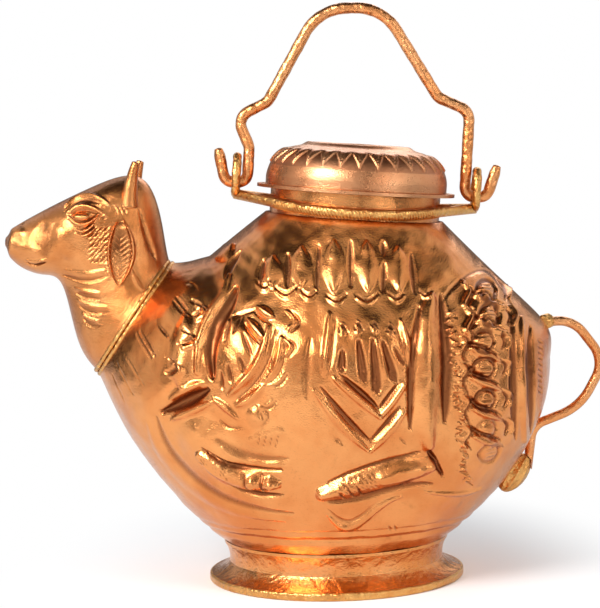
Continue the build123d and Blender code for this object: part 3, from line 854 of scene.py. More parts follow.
        self.cut(1.6, 1.4, ((-31, 120), (-35, 114.6), (-36, 110)))
        for arc in (((-48.4, 104), (-45, 101.6), (-48, 99)), ((-51.4, 94.6), (-48.2, 91.6), (-52.6, 89.4)),
                    ((-56.4, 85), (-53, 82), (-58, 79.8))):
            self.cut(1.1, 1.3, arc)
            self.lift(1.4, 0.9, shifted(arc, 1.6, -1.4))
        self.cut(
            0.7, 1.0, ((-55, 103.6), (-51, 99.6)), ((-53.8, 104.6), (-50, 100.6)),
            ((-68.4, 92.6), (-62, 83.6)), ((-67, 93.6), (-60.8, 84.6)), ((-61, 97), (-56, 91.4)),
        )
        self.cut(0.8, 0.7, ((-50, 109.2), (-48, 108.8), (-46.4, 107)))
        self.cut(0.5, 0.35, ((-76, 82), (-69.6, 71)), ((-77.6, 77), (-73, 68)), ((-72.6, 85), (-65.6, 75)))

    def legs(self) -> None:
        """The folded foreleg and hind leg, with their toes."""
        self.lift(4.6, 2.4, ((-45.4, 52.0), (-38, 46), (-31, 42.6), (-20, 42)), taper=0.6)
        self.lift(2.1, 1.2, ((-28.4, 44.0), (-28.2, 42.0)), ((-22.6, 43.8), (-22.0, 41.8)), taper=0.1)
        self.cut(1.5, 1.5, ((-44.4, 54.4), (-37.4, 49.8), (-31, 47.6), (-18.4, 46.8)), taper=0.7)
        self.cut(0.8, 2.0, ((-31.2, 45.6), (-30.4, 40)), ((-25.6, 45.6), (-25.0, 39.4)), taper=0.6)
        knee_x, length, breadth = -44.6, 13.0, 5.0
        for along, across in strewn(34):
            x = knee_x + length * along
            self.prick(x, 52.2 - 0.66 * (x - knee_x) + breadth * (across - 0.5))
        self.cut(1.6, 1.2, ((-37, 41.6), (-28, 38), (-18, 38)))
        shank = ((-5.0, 38.4), (6, 41.2), (17, 44), (26, 45.8), (32, 46.8))
        self.lift(5.0, 2.6, shank, taper=0.4)
        self.lift(4.6, 1.0, ((16, 44), (27, 46)), taper=0.3)
        for along, across in strewn(40):
            x = 1.0 + length * along
            self.prick(x, 40.6 + 0.22 * x + breadth * (across - 0.5))
        self.cut(1.3, 1.3, ((-3, 42.2), (6, 46.2), (18, 49.6), (29, 52.0)), taper=0.6)
        self.cut(1.8, 0.8, ((-3, 35.4), (6, 36), (16, 38.6), (26, 40), (33, 39.6)), taper=0.6)
        self.cut(
            0.9, 1.4, ((3.6, 41.4), (5.6, 37)), ((6.6, 42), (8.4, 37.6)), ((0.6, 40), (2.4, 36.6)), taper=0.5,
        )
        self.cut(1.5, 1.6, ((31.4, 52.0), (34.0, 47.6), (36.6, 42.6)), taper=0.5)
        self.lift(1.8, 0.8, ((-3.4, 31), (4, 25.6), (14.6, 33), (22.6, 36.4)))
        self.cut(1.2, 0.7, ((-3.4, 33), (4, 28), (14, 35)))
        self.lift(1.5, 0.7, ((30, 37), (44, 34.6), (51, 35)))
        self.cut(
            0.7, 0.8, ((-1, 58.6), (1, 56.6)), ((0.6, 58), (2.6, 55.6)), ((21.6, 57.6), (24.2, 55)),
            ((17.6, 25.4), (18.6, 22.6)), ((19.6, 25.4), (20.6, 22.6)),
        )

    def build(self) -> Relief:
        """Puts the whole chasing together."""
        for group in (self.neck_flutes, self.fan, self.panel, self.haunch, self.folds, self.legs):
            group()
        return self


# ---------------------------------------------------------------- the neck's leaning frame
@dataclass
class NeckFrame:
    """The frame of the neck, the lid and the hoop: it leans towards the tail."""

    lean: float = math.radians(5.0)
    rim_x: float = 10.2
    rim_z: float = 138.5

    def world(self, along: np.ndarray, side: np.ndarray, rise: np.ndarray) -> np.ndarray:
        """Turns places in the neck's frame into the vessel's.

        Args:
            along: towards the tail.
            side: towards the right flank.
            rise: above the collar's top edge.

        Returns:
            Points of the vessel.
        """
        cos, sin = math.cos(self.lean), math.sin(self.lean)
        x = self.rim_x + along * cos + rise * sin
        z = self.rim_z - along * sin + rise * cos
        return np.stack(np.broadcast_arrays(x, side, z), -1)


NECK = NeckFrame()


# ---------------------------------------------------------------- pot and chest
@dataclass(frozen=True)
class HammerWave:
    """Dents of one size: a wave along the vessel times one up it, each with its rate and its wander."""

    height: float
    along: Place
    up: Place
    start: float = 0.0

    def read(self, x: np.ndarray, z: np.ndarray) -> np.ndarray:
        """The dents' height at points of the side view.

        Args:
            x: along the vessel.
            z: up.

        Returns:
            The height in millimetres.
        """
        rate, wander, turn = self.along
        dents = self.height * np.sin(x * rate + wander * np.sin(z * turn))
        rate, wander, turn = self.up
        return dents * np.sin(z * rate + wander * np.sin(x * turn) + self.start)


@dataclass
class BodySkins:
    """The pot with the chest that grows out of it, as two beaten halves that meet on the plane Y = 0."""

    bottom: float = 15.0
    base_radius: float = 40.4
    belly_x: float = 1.5
    belly_height: float = 77.5
    belly_half_width: float = 77.2
    belly_half_depth: float = 59.0
    bowl_power: float = 0.93
    shoulder_steepness: float = 1.31
    shoulder_rounding: float = 0.08
    neck_drop: float = 8.6
    neck_radius: float = 31.75
    relief_room: float = 0.3
    widest: float = 60.5
    wall: float = 2.4
    edge_wall: float = 0.9
    seam_back: Point = (-57.1, 114.9)
    seam_breast: Point = (-84.0, 76.5)
    chest_stations: tuple[float, ...] = (0, 5, 10.5, 21, 34, 50, 70)
    chest_breast: tuple[float, ...] = (14.4, 11.4, 8.0, 2.2, -3.2, -7.4, -8.0)
    chest_back: tuple[float, ...] = (61.3, 65.2, 71.2, 76.5, 78.0, 76.0, 70.0)
    chest_half_depth: tuple[float, ...] = (19.5, 27.6, 34.0, 42.4, 42.0, 36.0, 26.0)
    blend: float = 5.0
    rows: int = 249
    columns: int = 357
    inner_step: int = 4
    reach: float = 130.0
    halvings: int = 26
    level_rounds: int = 3
    spread_heights: tuple[float, ...] = (60.0, 80.0, 95.0)
    deepest: float = -4.0
    highest: float = 3.4
    seam_margin: Point = (2.0, 9.0)
    neck_margin: float = 0.1
    edge_share: float = 0.06
    foot_grooves: tuple[Place, ...] = ((20.4, 0.9, 0.8), (23.6, 0.7, 0.3))
    broad_dents: HammerWave = HammerWave(0.18, (0.31, 1.3, 0.13), (0.27, -1.1, 0.09), 1.0)
    fine_dents: HammerWave = HammerWave(0.07, (0.83, 2.0, 0.21), (0.61, 1.7, 0.17))
    dent_drop: float = 0.08
    # how dark the inner wall is painted: painted shade inside the pot
    inside_painted_shade: float = 0.6

    def __post_init__(self) -> None:
        """Works out what follows from the sizes."""
        top = NECK.world(0.0, 0.0, -self.neck_drop)
        self.top_x, self.top_z = float(top[0]), float(top[2])
        span = np.array(self.seam_back) - np.array(self.seam_breast)
        self.up = span / np.linalg.norm(span)
        self.inward = np.array([self.up[1], -self.up[0]])
        self.seam_at = float(self.inward @ np.array(self.seam_back))
        self.breast_run = SmoothRun(self.chest_stations, self.chest_breast)
        self.back_run = SmoothRun(self.chest_stations, self.chest_back)
        self.depth_run = SmoothRun(self.chest_stations, self.chest_half_depth)
        self.relief = FlankRelief().build()

    def level(self, q: np.ndarray) -> tuple[np.ndarray, ...]:
        """The pot's middle, height, half width and half depth.

        Args:
            q: 0 at the base, 1 at the belly, 2 at the neck.

        Returns:
            The four sizes at each level.
        """
        bowl = np.clip(q, 0, 1)
        swell = (1 - (1 - bowl) ** 2) ** self.bowl_power
        rise = np.clip(q - 1, 0, 1)
        cone = self.shoulder_steepness * (1 - rise)
        left = 1 - self.shoulder_rounding * np.log1p(np.exp((1 - cone) / self.shoulder_rounding))
        low = q <= 1
        share, end = np.where(low, swell, left), np.where(low, self.base_radius, self.neck_radius)
        middle = np.where(low, self.belly_x * swell, self.belly_x + rise * (self.top_x - self.belly_x))
        height = np.where(
            low,
            self.bottom + bowl * (self.belly_height - self.bottom),
            self.belly_height + rise * (self.top_z - self.belly_height),
        )
        width = end + (self.belly_half_width - end) * share
        return middle, height, width, end + (self.belly_half_depth - end) * share

    def pot_depth(self, x: np.ndarray, z: np.ndarray) -> np.ndarray:
        """Half the pot's depth at points of the side view, negative outside its outline.

        Args:
            x: along the vessel.
            z: up.

        Returns:
            The half depth at each.
        """
        bowl, shoulder = self.belly_height - self.bottom, self.top_z - self.belly_height
        q = 1 + (z - self.belly_height) / bowl
        for _ in range(self.level_rounds):
            lean = NECK.lean * np.clip(q - 1, 0, 1)
            rise = z + (x - self.level(q)[0]) * np.tan(lean) - self.belly_height
            q = 1 + rise / np.where(rise < 0, bowl, shoulder)
        middle, _, width, depth = self.level(np.clip(q, 0, 2))
        room = 1 - ((x - middle) / width) ** 2
        return depth * np.sign(room) * np.sqrt(np.abs(room))

    def chest_depth(self, x: np.ndarray, z: np.ndarray) -> np.ndarray:
        """Half the chest's depth at points of the side view, negative outside its outline.

        Args:
            x: along the vessel.
            z: up.

        Returns:
            The half depth at each.
        """
        station = self.inward[0] * x + self.inward[1] * z - self.seam_at
        height = self.up[0] * x + self.up[1] * z
        breast, back = self.breast_run(station), self.back_run(station)
        room = 1 - ((height - (breast + back) / 2) / ((back - breast) / 2)) ** 2
        depth = self.depth_run(station) * np.sign(room) * np.sqrt(np.abs(room))
        past = np.clip(station - self.chest_stations[-1], 0, None)
        return np.where(station < 0, depth + station * 40, depth - past * 8)

    def depth(self, x: np.ndarray, z: np.ndarray) -> np.ndarray:
        """Half the body's depth where pot and chest run into each other.

        Args:
            x: along the vessel.
            z: up.

        Returns:
            The half depth at each.
        """
        pot, chest = self.pot_depth(x, z), self.chest_depth(x, z)
        meet = np.clip(self.blend - np.abs(pot - chest), 0, None) / self.blend
        return np.maximum(pot, chest) + meet**2 * self.blend / 4

    def rays(self) -> tuple[np.ndarray, np.ndarray]:
        """Where the rays start and how they run, from the pot's middle out to its skin.

        Returns:
            Starts, one for each row, and directions, rows by columns.
        """
        q = np.linspace(0, 2, 1601)
        _, height, width, _ = self.level(q)
        run = travelled(np.hypot(np.diff(height), np.diff(width)))
        q = np.interp(np.linspace(0, run[-1], self.rows), run, q)
        middle, height, _, _ = self.level(q)
        starts = np.stack([middle, np.zeros_like(middle), height], 1)
        lean = NECK.lean * np.clip(q - 1, 0, 1)
        along = np.stack([np.cos(lean), np.zeros_like(lean), -np.sin(lean)], 1)
        turn = self.turns()
        directions = along[:, None, :] * np.cos(turn)[None, :, None]
        directions = directions + np.array([0.0, 1.0, 0.0]) * np.sin(turn)[None, :, None]
        return starts, directions

    def turns(self) -> np.ndarray:
        """The rays' turns, set so that the points lie evenly round the belly and the chest.

        Returns:
            Angles from the tail (0) to the head (pi).
        """
        turn = np.linspace(0, math.pi, 1501)
        run = np.zeros_like(turn)
        for height in self.spread_heights:
            start = np.array([[self.belly_x, 0.0, height]])
            direction = np.stack([np.cos(turn), np.sin(turn), np.zeros_like(turn)], 1)[None]
            out = self.skin(start, direction)[0]
            run += travelled(np.linalg.norm(np.diff(out, axis=0), axis=1))
        return np.interp(np.linspace(0, run[-1], self.columns), run, turn)

    def skin(self, starts: np.ndarray, directions: np.ndarray) -> np.ndarray:
        """Follows each ray to the skin by halving.

        Args:
            starts: one point for each row.
            directions: rows by columns by 3.

        Returns:
            The skin's points, rows by columns by 3.
        """
        low = np.zeros(directions.shape[:2])
        high = np.full(directions.shape[:2], self.reach)
        for _ in range(self.halvings):
            middle = (low + high) / 2
            at = starts[:, None, :] + directions * middle[..., None]
            inside = self.depth(at[..., 0], at[..., 2]) > np.abs(at[..., 1])
            low, high = np.where(inside, middle, low), np.where(inside, high, middle)
        return starts[:, None, :] + directions * low[..., None]

    def build(self, side: Side) -> Piece:
        """Builds one half: its skin with the relief, its inner wall and its rims.

        Args:
            side: the flank.

        Returns:
            The half.
        """
        starts, directions = self.rays()
        plain = self.skin(starts, directions)
        normal = outwards(surface_normals(plain), directions)
        x, y, z = plain[..., 0], plain[..., 1], plain[..., 2]
        share = np.linspace(0, 1, self.rows)
        below_neck = smooth_step(2 - 2 * share, 0.0, self.neck_margin)[:, None]
        shown = smooth_step(y, *self.seam_margin) * below_neck
        relief, hollow = self.relief.read(x, z)
        beaten = self.broad_dents.read(x, z) + (self.fine_dents.read(x, z) - self.dent_drop)
        grooves = sum(depth * hump(z, middle, spread) for middle, spread, depth in self.foot_grooves)
        settled = self.relief_room * np.clip(y / self.belly_half_depth, 0, 1) ** 2
        height = (np.clip(relief, self.deepest, self.highest) + beaten) * shown - grooves - settled
        outer = plain + normal * height[..., None]
        outer[..., 1] = np.clip(outer[..., 1], 0, self.widest)
        outer[:, [0, -1], 1] = 0.0
        swell = smooth_step(np.minimum(share, 1 - share), 0.0, self.edge_share)[:, None, None]
        wall = self.edge_wall + (self.wall - self.edge_wall) * swell
        inner = plain - directions * wall - normal * np.clip(-height, 0, None)[..., None]
        inner = inner[:: self.inner_step, :: self.inner_step]
        inner[:, [0, -1], 1] = 0.0
        ids = grid_ids(outer)
        inner_ids = ids.size + grid_ids(inner)
        faces = [grid_triangles(ids), grid_triangles(inner_ids)[:, ::-1]]
        rims = ((np.s_[0], 1), (np.s_[-1], -1), (np.s_[:, 0], -1), (np.s_[:, -1], 1))
        for rim, turn in rims:
            faces.append(hem(ids[rim], inner_ids[rim])[:, :: -turn])
        points = np.concatenate([outer.reshape(-1, 3), inner.reshape(-1, 3)]) * [1, side, 1]
        # The relief's grooves and the whole inner wall are painted darker: painted shade, partly tarnish in
        # the grooves.
        hollow = np.concatenate([(hollow * shown).ravel(), np.full(inner_ids.size, self.inside_painted_shade)])
        return Piece(
            f"{side.word}_body_skin", points, np.concatenate(faces), Finishes.SKIN, hollow=hollow,
            stands_for=(f"{side.word}_flank", f"{side.word}_chest"),
        )


# ---------------------------------------------------------------- head
@dataclass
class HeadSkins:
    """The head and neck as two beaten halves, with the face chased into them."""

    back_x: tuple[float, ...] = (-57.1, -58.6, -64.8, -83.5, -104.5, -115.4)
    back_z: tuple[float, ...] = (114.9, 122.5, 144.2, 143.2, 133.6, 127.6)
    throat_x: tuple[float, ...] = (-84.0, -91.0, -95.8, -103.0, -111.0, -115.8)
    throat_z: tuple[float, ...] = (76.5, 88.0, 107.6, 112.0, 115.2, 120.4)
    half_depth: tuple[float, ...] = (19.5, 17.2, 15.4, 15.2, 9.6, 6.4)
    mouth_radius: float = 0.5
    mouth_depth: float = 6.0
    rows: int = 240
    columns: int = 150
    wall_rows: int = 12
    mouth_narrowing: float = 0.25
    inward: Place = (1.0, 0.0, -0.02)
    brow_at: float = 2.9
    brow_spread: float = 0.55
    brow_fullness: float = 0.10

    def strokes(self) -> Relief:
        """The face: brow, eye, cheek, nostril, mouth and the folds of the neck.

        Returns:
            The strokes.
        """
        relief = Relief()
        brow = ((-93.0, 136.2), (-89.4, 139.4), (-84.6, 140.4), (-80, 139.0), (-76.6, 136.4))
        relief.add(Stroke(brow, 1.0, 0.9), Stroke(shifted(brow[:-1], 0, -1.6), 0.9, -0.8))
        lid = ((-91.6, 133.6), (-89, 136), (-85.6, 136.6), (-81.8, 135.4), (-78.4, 133.2))
        relief.add(Stroke(lid, 1.0, 0.9), Stroke(shifted(lid, 0, -1.2), 0.6, -0.8))
        relief.add(Stroke(((-88.6, 132.7), (-85.0, 132.6)), 2.0, 1.2, taper=0.2))
        lower = ((-92.0, 133.8), (-89.6, 131.2), (-86.6, 130.2), (-83.4, 131.2), (-81.0, 133))
        relief.add(Stroke(lower, 0.8, 0.8), Stroke(shifted(lower, 0, 1.1), 0.5, -0.9))
        for drop, size in ((2.4, 0.7), (4.0, 0.6)):
            pouch = tuple((x * 0.8 - 17.4, z - drop) for x, z in lower[1:])
            relief.add(Stroke(pouch, 0.7, size), Stroke(shifted(pouch, 0, 0.8), 0.5, -size))
        relief.add(Stroke(((-86.8, 132.8),), 0.8, -0.7))
        relief.add(Stroke(((-94.5, 128.0), (-93, 121)), 5.0, 0.5, taper=0.3))
        relief.add(Stroke(((-90, 119.4), (-83, 119)), 6.5, 0.7, taper=0.3))
        relief.add(Stroke(((-101.0, 129.5), (-100.5, 120)), 5.5, -0.5, taper=0.5, edge=1.5))
        relief.add(Stroke(((-112.4, 128.2), (-109.6, 127.8)), 3.0, 0.5, taper=0.2))
        relief.add(Stroke(((-111.2, 130.0), (-109.8, 130.8), (-108.6, 130.4)), 0.7, -0.9))
        mouth = ((-107.6, 116.9), (-104.6, 115.9), (-100.2, 117.0))
        relief.add(Stroke(mouth, 0.7, -1.0), Stroke(shifted(mouth, 0, 1.2), 0.9, 0.4))
        relief.add(Stroke(((-110, 122.6), (-103, 120.8)), 3.4, 0.4, taper=0.4))
        relief.add(Stroke(((-95, 112.0), (-86, 110.4), (-78.6, 112)), 1.5, -0.55))
        relief.add(Stroke(((-94, 114.0), (-86, 112.6), (-79, 114.0)), 1.8, 0.3))
        for fold, size in ((((-90.4, 107.6), (-86, 106.4), (-81.4, 105.8)), 0.6),
                           (((-89.6, 103.4), (-85, 101.4), (-79, 101.0)), 0.5),
                           (((-88.0, 98.6), (-85.4, 96.6), (-82.0, 96.2)), 0.6)):
            relief.add(Stroke(fold, 1.1, size), Stroke(shifted(fold, 0.2, -1.9), 1.8, -size * 0.9))
        for along, across in strewn(46):
            x, z = -84.2 + 6.6 * along, 129.6 - 12.8 * across
            relief.add(Stroke(((x - 0.6, z - 0.5), (x + 0.6, z + 0.5)), 0.55, -0.6, taper=0.3))
        for k in range(9):
            x, z = -75.6 + 0.5 * k, 136.0 - 0.9 * (k % 3)
            relief.add(Stroke(((x, z + 0.7), (x + 0.4, z - 0.7)), 0.5, -0.5, taper=0.3))
        relief.add(Stroke(((-66.6, 134), (-63.4, 122), (-61.4, 117)), 1.6, -0.5))
        relief.add(Stroke(((-71, 116), (-67.6, 109), (-65.6, 106.6)), 1.3, 0.6))
        return relief

    def build(self, side: Side) -> Piece:
        """Builds one half of the head.

        Args:
            side: the flank.

        Returns:
            The half.
        """
        sections = range(len(self.back_x))
        at = np.linspace(0, sections[-1], self.rows)
        runs = (self.back_x, self.back_z, self.throat_x, self.throat_z, self.half_depth)
        back_x, back_z, throat_x, throat_z, depth = (SmoothRun(sections, run)(at) for run in runs)
        turn = np.linspace(0, math.pi, self.columns)
        middle = np.stack([(back_x + throat_x) / 2, 0 * at, (back_z + throat_z) / 2], 1)
        half = np.stack([(back_x - throat_x) / 2, 0 * at, (back_z - throat_z) / 2], 1)
        mouth = smooth_step(at, sections[-1] - 0.5, sections[-1])
        lips = np.sqrt(1 - (1 - self.mouth_radius**2) * mouth**2)
        brow = hump(at, self.brow_at, self.brow_spread) * self.brow_fullness
        points = middle[:, None, :] + (half * lips[:, None])[:, None, :] * np.cos(turn)[None, :, None]
        points[..., 1] = np.sin(turn)[None, :] ** (1 - 0.5 * brow[:, None]) * (depth * lips)[:, None]
        normal = outwards(surface_normals(points), points - middle[:, None, :])
        height, hollow = self.strokes().read(points[..., 0], points[..., 2])
        shown = smooth_step(points[..., 1], 0.6, 3.5) * smooth_step(at, 0.0, 0.12)[:, None]
        points = points + normal * (height * shown)[..., None]
        points[:, [0, -1], 1] = 0.0
        throat = [points]
        inward = np.array(self.inward)
        for k in range(1, self.wall_rows + 1):
            share = k / self.wall_rows
            shrink = 1 - self.mouth_narrowing * math.sin(math.pi / 2 * min(1.0, share * 2))
            ring = middle[-1] + (points[-1] - middle[-1]) * shrink + inward * self.mouth_depth * share
            throat.append(ring[None])
        throat.append(np.broadcast_to(middle[-1] + inward * self.mouth_depth, (1, self.columns, 3)))
        grid = np.concatenate(throat)
        # The face's grooves and the whole inside of the mouth are painted dark: painted shade, partly tarnish
        # in the grooves.
        hollow = np.concatenate([hollow * shown, np.ones((len(grid) - self.rows, self.columns))])
        return Piece(
            f"{side.word}_head_skin", *grid_sheet(grid * [1, side, 1]), Finishes.HEAD_SKIN,
            hollow=hollow.ravel(), stands_for=(f"{side.word}_head",),
        )


@dataclass
class HeadTrim:
    """Horns, ears and the band round the neck's seam."""

    horn_root: Place = (-70.4, 9.6, 136.0)
    horn_tip: Place = (-67.4, 11.4, 151.4)
    horn_bow: float = 0.5
    horn_root_radius: float = 3.6
    horn_tip_radius: float = 1.35
    ear_root: Point = (-73.0, 132.4)
    ear_tip: Point = (-74.4, 108.2)
    ear_front_bow: float = 4.6
    ear_back_bow: float = 5.8
    ear_face: float = 16.4
    ear_swell: float = 1.5
    ear_thickness: float = 1.5
    ear_rim: Point = (0.84, 0.13)
    ear_hairs: float = 13.0
    ear_hair_slant: float = 2.2
    ear_root_sink: float = 2.6
    ear_tip_flare: float = 0.6
    ear_rows: int = 90
    ear_columns: int = 44
    band_radius: float = 0.85
    band_spread: float = 0.85
    band_flare: float = 0.008
    band_step: float = 0.45

    def horn(self, side: Side) -> Piece:
        """A horn with a blunt tip and shallow rings.

        Args:
            side: the flank.

        Returns:
            The horn.
        """
        share = np.linspace(0, 1, 40)[:, None]
        root, tip = np.array(self.horn_root), np.array(self.horn_tip)
        path = root + (tip - root) * share - np.array([self.horn_bow, 0, 0]) * 4 * share * (1 - share)
        t = share[:, 0]
        radii = self.horn_root_radius + (self.horn_tip_radius - self.horn_root_radius) * t**0.9
        points, faces = sweep_tube(path, radii * (1 + 0.012 * np.sin(t * 17)), 28)
        return Piece(
            f"{side.word}_horn_skin", points * [1, side, 1], faces, Finishes.HEAD_SKIN,
            stands_for=(f"{side.word}_horn",),
        )

    def ear(self, side: Side) -> Piece:
        """An ear: a leaf with a thick rim and slanting hairs.

        Args:
            side: the flank.

        Returns:
            The ear.
        """
        along = np.linspace(0, 1, self.ear_rows)[:, None]
        across = np.linspace(-1, 1, self.ear_columns)[None, :]
        out = np.abs(across)
        root, tip = np.array(self.ear_root), np.array(self.ear_tip)
        swell = np.sin(math.pi * np.clip(along, 0, 1)) ** 0.75
        bow = np.where(across < 0, self.ear_front_bow, self.ear_back_bow)
        x = root[0] + (tip[0] - root[0]) * along + across * swell * bow
        z = root[1] + (tip[1] - root[1]) * along + 0 * across
        rim = hump(out, *self.ear_rim) * smooth_step(swell, 0.05, 0.3)
        dish = (1 - across**2) * swell
        hair = np.abs(((along * self.ear_hairs + out * self.ear_hair_slant) % 1.0) - 0.5) * 2
        hair = smooth_step(1 - hair, 0.55, 0.95) * (out < 0.74) * smooth_step(along, 0.18, 0.4)
        face = self.ear_face + self.ear_swell * (0.9 * rim - 0.55 * dish + 0.35 * hair * swell)
        face = face - self.ear_root_sink * (1 - smooth_step(along, 0.0, 0.18))
        face = face + self.ear_tip_flare * smooth_step(along, 0.6, 1.0)
        front = np.stack([x, face, z], -1)
        back = np.stack([x, face - self.ear_thickness - 1.6 * dish, z], -1)
        grid = np.concatenate([front, back[:, ::-1]], 1) * [1, side, 1]
        # The ear's dish and the gaps between its hairs are painted darker: painted shade; the back of the ear
        # stays plain.
        hollow = (dish * 0.5 + (1 - hair) * dish * 0.4) * smooth_step(1 - out, 0.1, 0.4)
        return Piece(
            f"{side.word}_ear_skin", *grid_sheet(grid, closed=True), Finishes.HEAD_SKIN,
            hollow=np.concatenate([hollow, np.zeros_like(hollow)], 1).ravel(),
            stands_for=(f"{side.word}_ear",),
        )

    def band(self, head: HeadSkins) -> list[Piece]:
        """The two wires laid side by side round the seam between head and chest.

        Args:
            head: the head that they bind.

        Returns:
            The wires.
        """
        back = np.array([head.back_x[0], 0, head.back_z[0]])
        throat = np.array([head.throat_x[0], 0, head.throat_z[0]])
        middle, half = (back + throat) / 2, (back - throat) / 2
        across = np.array([half[2], 0, -half[0]])
        across /= np.linalg.norm(across)
        turn = np.linspace(0, 2 * math.pi, 241)
        wires = []
        for k, name in ((-1, "seam_wire_head_side"), (1, "seam_wire_chest_side")):
            grow = 1 + self.band_flare * k
            path = middle + across * self.band_spread * k + np.outer(np.cos(turn), half * grow)
            path[:, 1] = np.sin(turn) * (head.half_depth[0] + self.band_step * (1 + k))
            radii = self.band_radius * (1 + 0.10 * np.sin(turn * 59) + 0.05 * np.sin(turn * 23))
            points, faces = sweep_tube(path, radii, 14)
            wires.append(Piece(name, points, faces, Finishes.BRASS, stands_for=("seam_band",)))
        return wires


# ---------------------------------------------------------------- lid
@dataclass
class LidSkin:
    """The lid's dome: a ring of chased teeth round a sunk disc."""

    seat: float = 1.4
    edge_radius: float = 33.0
    outline: tuple[Point, ...] = (
        (33.0, 0.0), (33.0, 3.0), (32.3, 6.4), (30.2, 10.2), (26.4, 13.2), (22.2, 14.7), (20.4, 15.2),
        (18.9, 16.1), (17.6, 16.4), (16.3, 15.9), (15.2, 15.0), (12.0, 14.8), (6.0, 14.9), (0.0, 15.0),
    )
    sheet: float = 0.8
    teeth: int = 30
    tooth_top: float = 15.5
    tooth_length: float = 7.2
    tooth_rise: float = 0.7
    tooth_edge: float = 0.35
    chased_lines: tuple[Point, ...] = ((1.5, 0.34), (2.9, 0.28))
    line_width: float = 0.35
    relief_room: float = 0.55
    hidden_room: float = 0.6
    rows: int = 151
    inner_step: int = 6
    columns: int = 540

    def build(self) -> Piece:
        """Builds the dome's skin with its inner face.

        Returns:
            The dome.
        """
        knots = np.array(self.outline)
        run = travelled(np.hypot(*np.diff(knots, axis=0).T))
        at = np.linspace(0, run[-1], self.rows)
        radius, rise = SmoothRun(run, knots[:, 0])(at), SmoothRun(run, knots[:, 1])(at)
        radius = np.clip(radius, 0.0, self.edge_radius)
        radius[-1] = 0.0
        turn = np.linspace(0, 2 * math.pi, self.columns + 1)[:-1]
        s, a = at[:, None], turn[None, :]
        low = self.tooth_top - self.tooth_length
        phase = (a * self.teeth / (2 * math.pi)) % 1.0
        zigzag = low + self.tooth_length * np.abs(phase * 2 - 1) ** 0.9
        raised = self.tooth_rise * smooth_step(s, zigzag - self.tooth_edge, zigzag + self.tooth_edge)
        raised = raised * (1 - smooth_step(s, self.tooth_top - 1.0, self.tooth_top + 2.5))
        for drop, depth in self.chased_lines:
            raised = raised - depth * hump(s - zigzag, drop, self.line_width) * (s < self.tooth_top + 1)
        normal = np.stack([np.gradient(rise, at), -np.gradient(radius, at)])
        normal_r, normal_z = (normal / np.hypot(*normal))[..., None]
        wavy = 0.05 * np.sin(3 * a + 1.0) * np.sin(s * 0.2) + 0.04 * np.sin(7 * a + s * 0.4)
        wavy = wavy * smooth_step(s, 2.0, 6.0)
        lift = (raised + wavy - self.relief_room) * smooth_step(radius, 2.0, 8.0)[:, None]
        outer_r, outer_z = radius[:, None] + normal_r * lift, rise[:, None] + normal_z * lift
        outer_r = np.clip(outer_r, 0, self.edge_radius)
        inner_r, inner_z = (
            np.clip(line - self.sheet - self.hidden_room, 0, None)[:: -self.inner_step, None] + 0 * a
            for line in (radius, rise)
        )
        r, h = np.concatenate([outer_r, inner_r]), np.concatenate([outer_z, inner_z])
        points = NECK.world(r * np.cos(a), r * np.sin(a), self.seat + h)
        ids = grid_ids(points, closed=True)
        ids = np.concatenate([ids, ids[:1]])
        # Painted shade, partly tarnish, in the low ground between the teeth and in the chased lines; the
        # underside is painted darker as well, as painted shade.
        recess_tarnish_and_shade = np.clip((self.tooth_rise * 0.8 - raised) * 1.2, 0, 1)
        recess_tarnish_and_shade = recess_tarnish_and_shade * (s > low - 1) * (s < self.tooth_top) * 0.8
        hollow = np.concatenate([recess_tarnish_and_shade, np.full_like(inner_r, 0.5)])
        return Piece(
            "lid_dome_skin", points.reshape(-1, 3), grid_triangles(ids), Finishes.LID_SKIN, LID,
            hollow.ravel(), ("lid_dome",),
        )


# ---------------------------------------------------------------- tail tuft
@dataclass
class TailTuft:
    """The tail's tuft: a drop of strands, and the braze at the tail's root."""

    centre: Point = (65.4, 35.6)
    length: float = 16.2
    radius: float = 4.7
    slope: float = math.radians(52.0)
    strands: int = 9
    strand_depth: float = 0.10
    strand_twist: float = 2.2
    root: Place = (77.6, 0.0, 90.2)
    braze_radius: float = 2.7
    braze_length: float = 7.0

    def build(self) -> Piece:
        """Builds the tuft.

        Returns:
            The tuft.
        """
        share = np.linspace(0, 1, 60)[:, None]
        turn = np.linspace(0, 2 * math.pi, 90, endpoint=False)[None, :]
        radius = self.radius * egg(share) * (1.04 - 0.12 * share)
        ridges = np.abs(np.sin(turn * self.strands / 2 + share * self.strand_twist))
        radius = radius * (1 - self.strand_depth * ridges)
        along = (share - 0.5) * self.length + 0 * turn
        side, up = radius * np.cos(turn), radius * np.sin(turn)
        cos, sin = math.cos(self.slope), math.sin(self.slope)
        x, z = self.centre
        points = np.stack([x + along * cos - up * sin, side, z + along * sin + up * cos], -1)
        return Piece(
            "tail_tuft_strands", *grid_sheet(points, closed=True), Finishes.BRASS, stands_for=("tail_tuft",),
        )

    def braze(self) -> Piece:
        """Builds the drop of braze that holds the tail's upper end.

        Returns:
            The braze.
        """
        share = np.linspace(0, 1, 30)[:, None]
        turn = np.linspace(0, 2 * math.pi, 40, endpoint=False)[None, :]
        radius = self.braze_radius * egg(share)
        radius = radius * (1 + 0.10 * np.sin(turn * 3 + share * 5) + 0.05 * np.sin(turn * 5 - share * 9))
        along = (share - 0.5) * self.braze_length + 0 * turn
        x, y, z = self.root
        points = np.stack([x + along, y + radius * np.cos(turn), z + radius * np.sin(turn)], -1)
        return Piece("tail_root_braze", *grid_sheet(points, closed=True), Finishes.BRASS)


# ---------------------------------------------------------------- bail and its eyes
PATH_STEP = 0.7


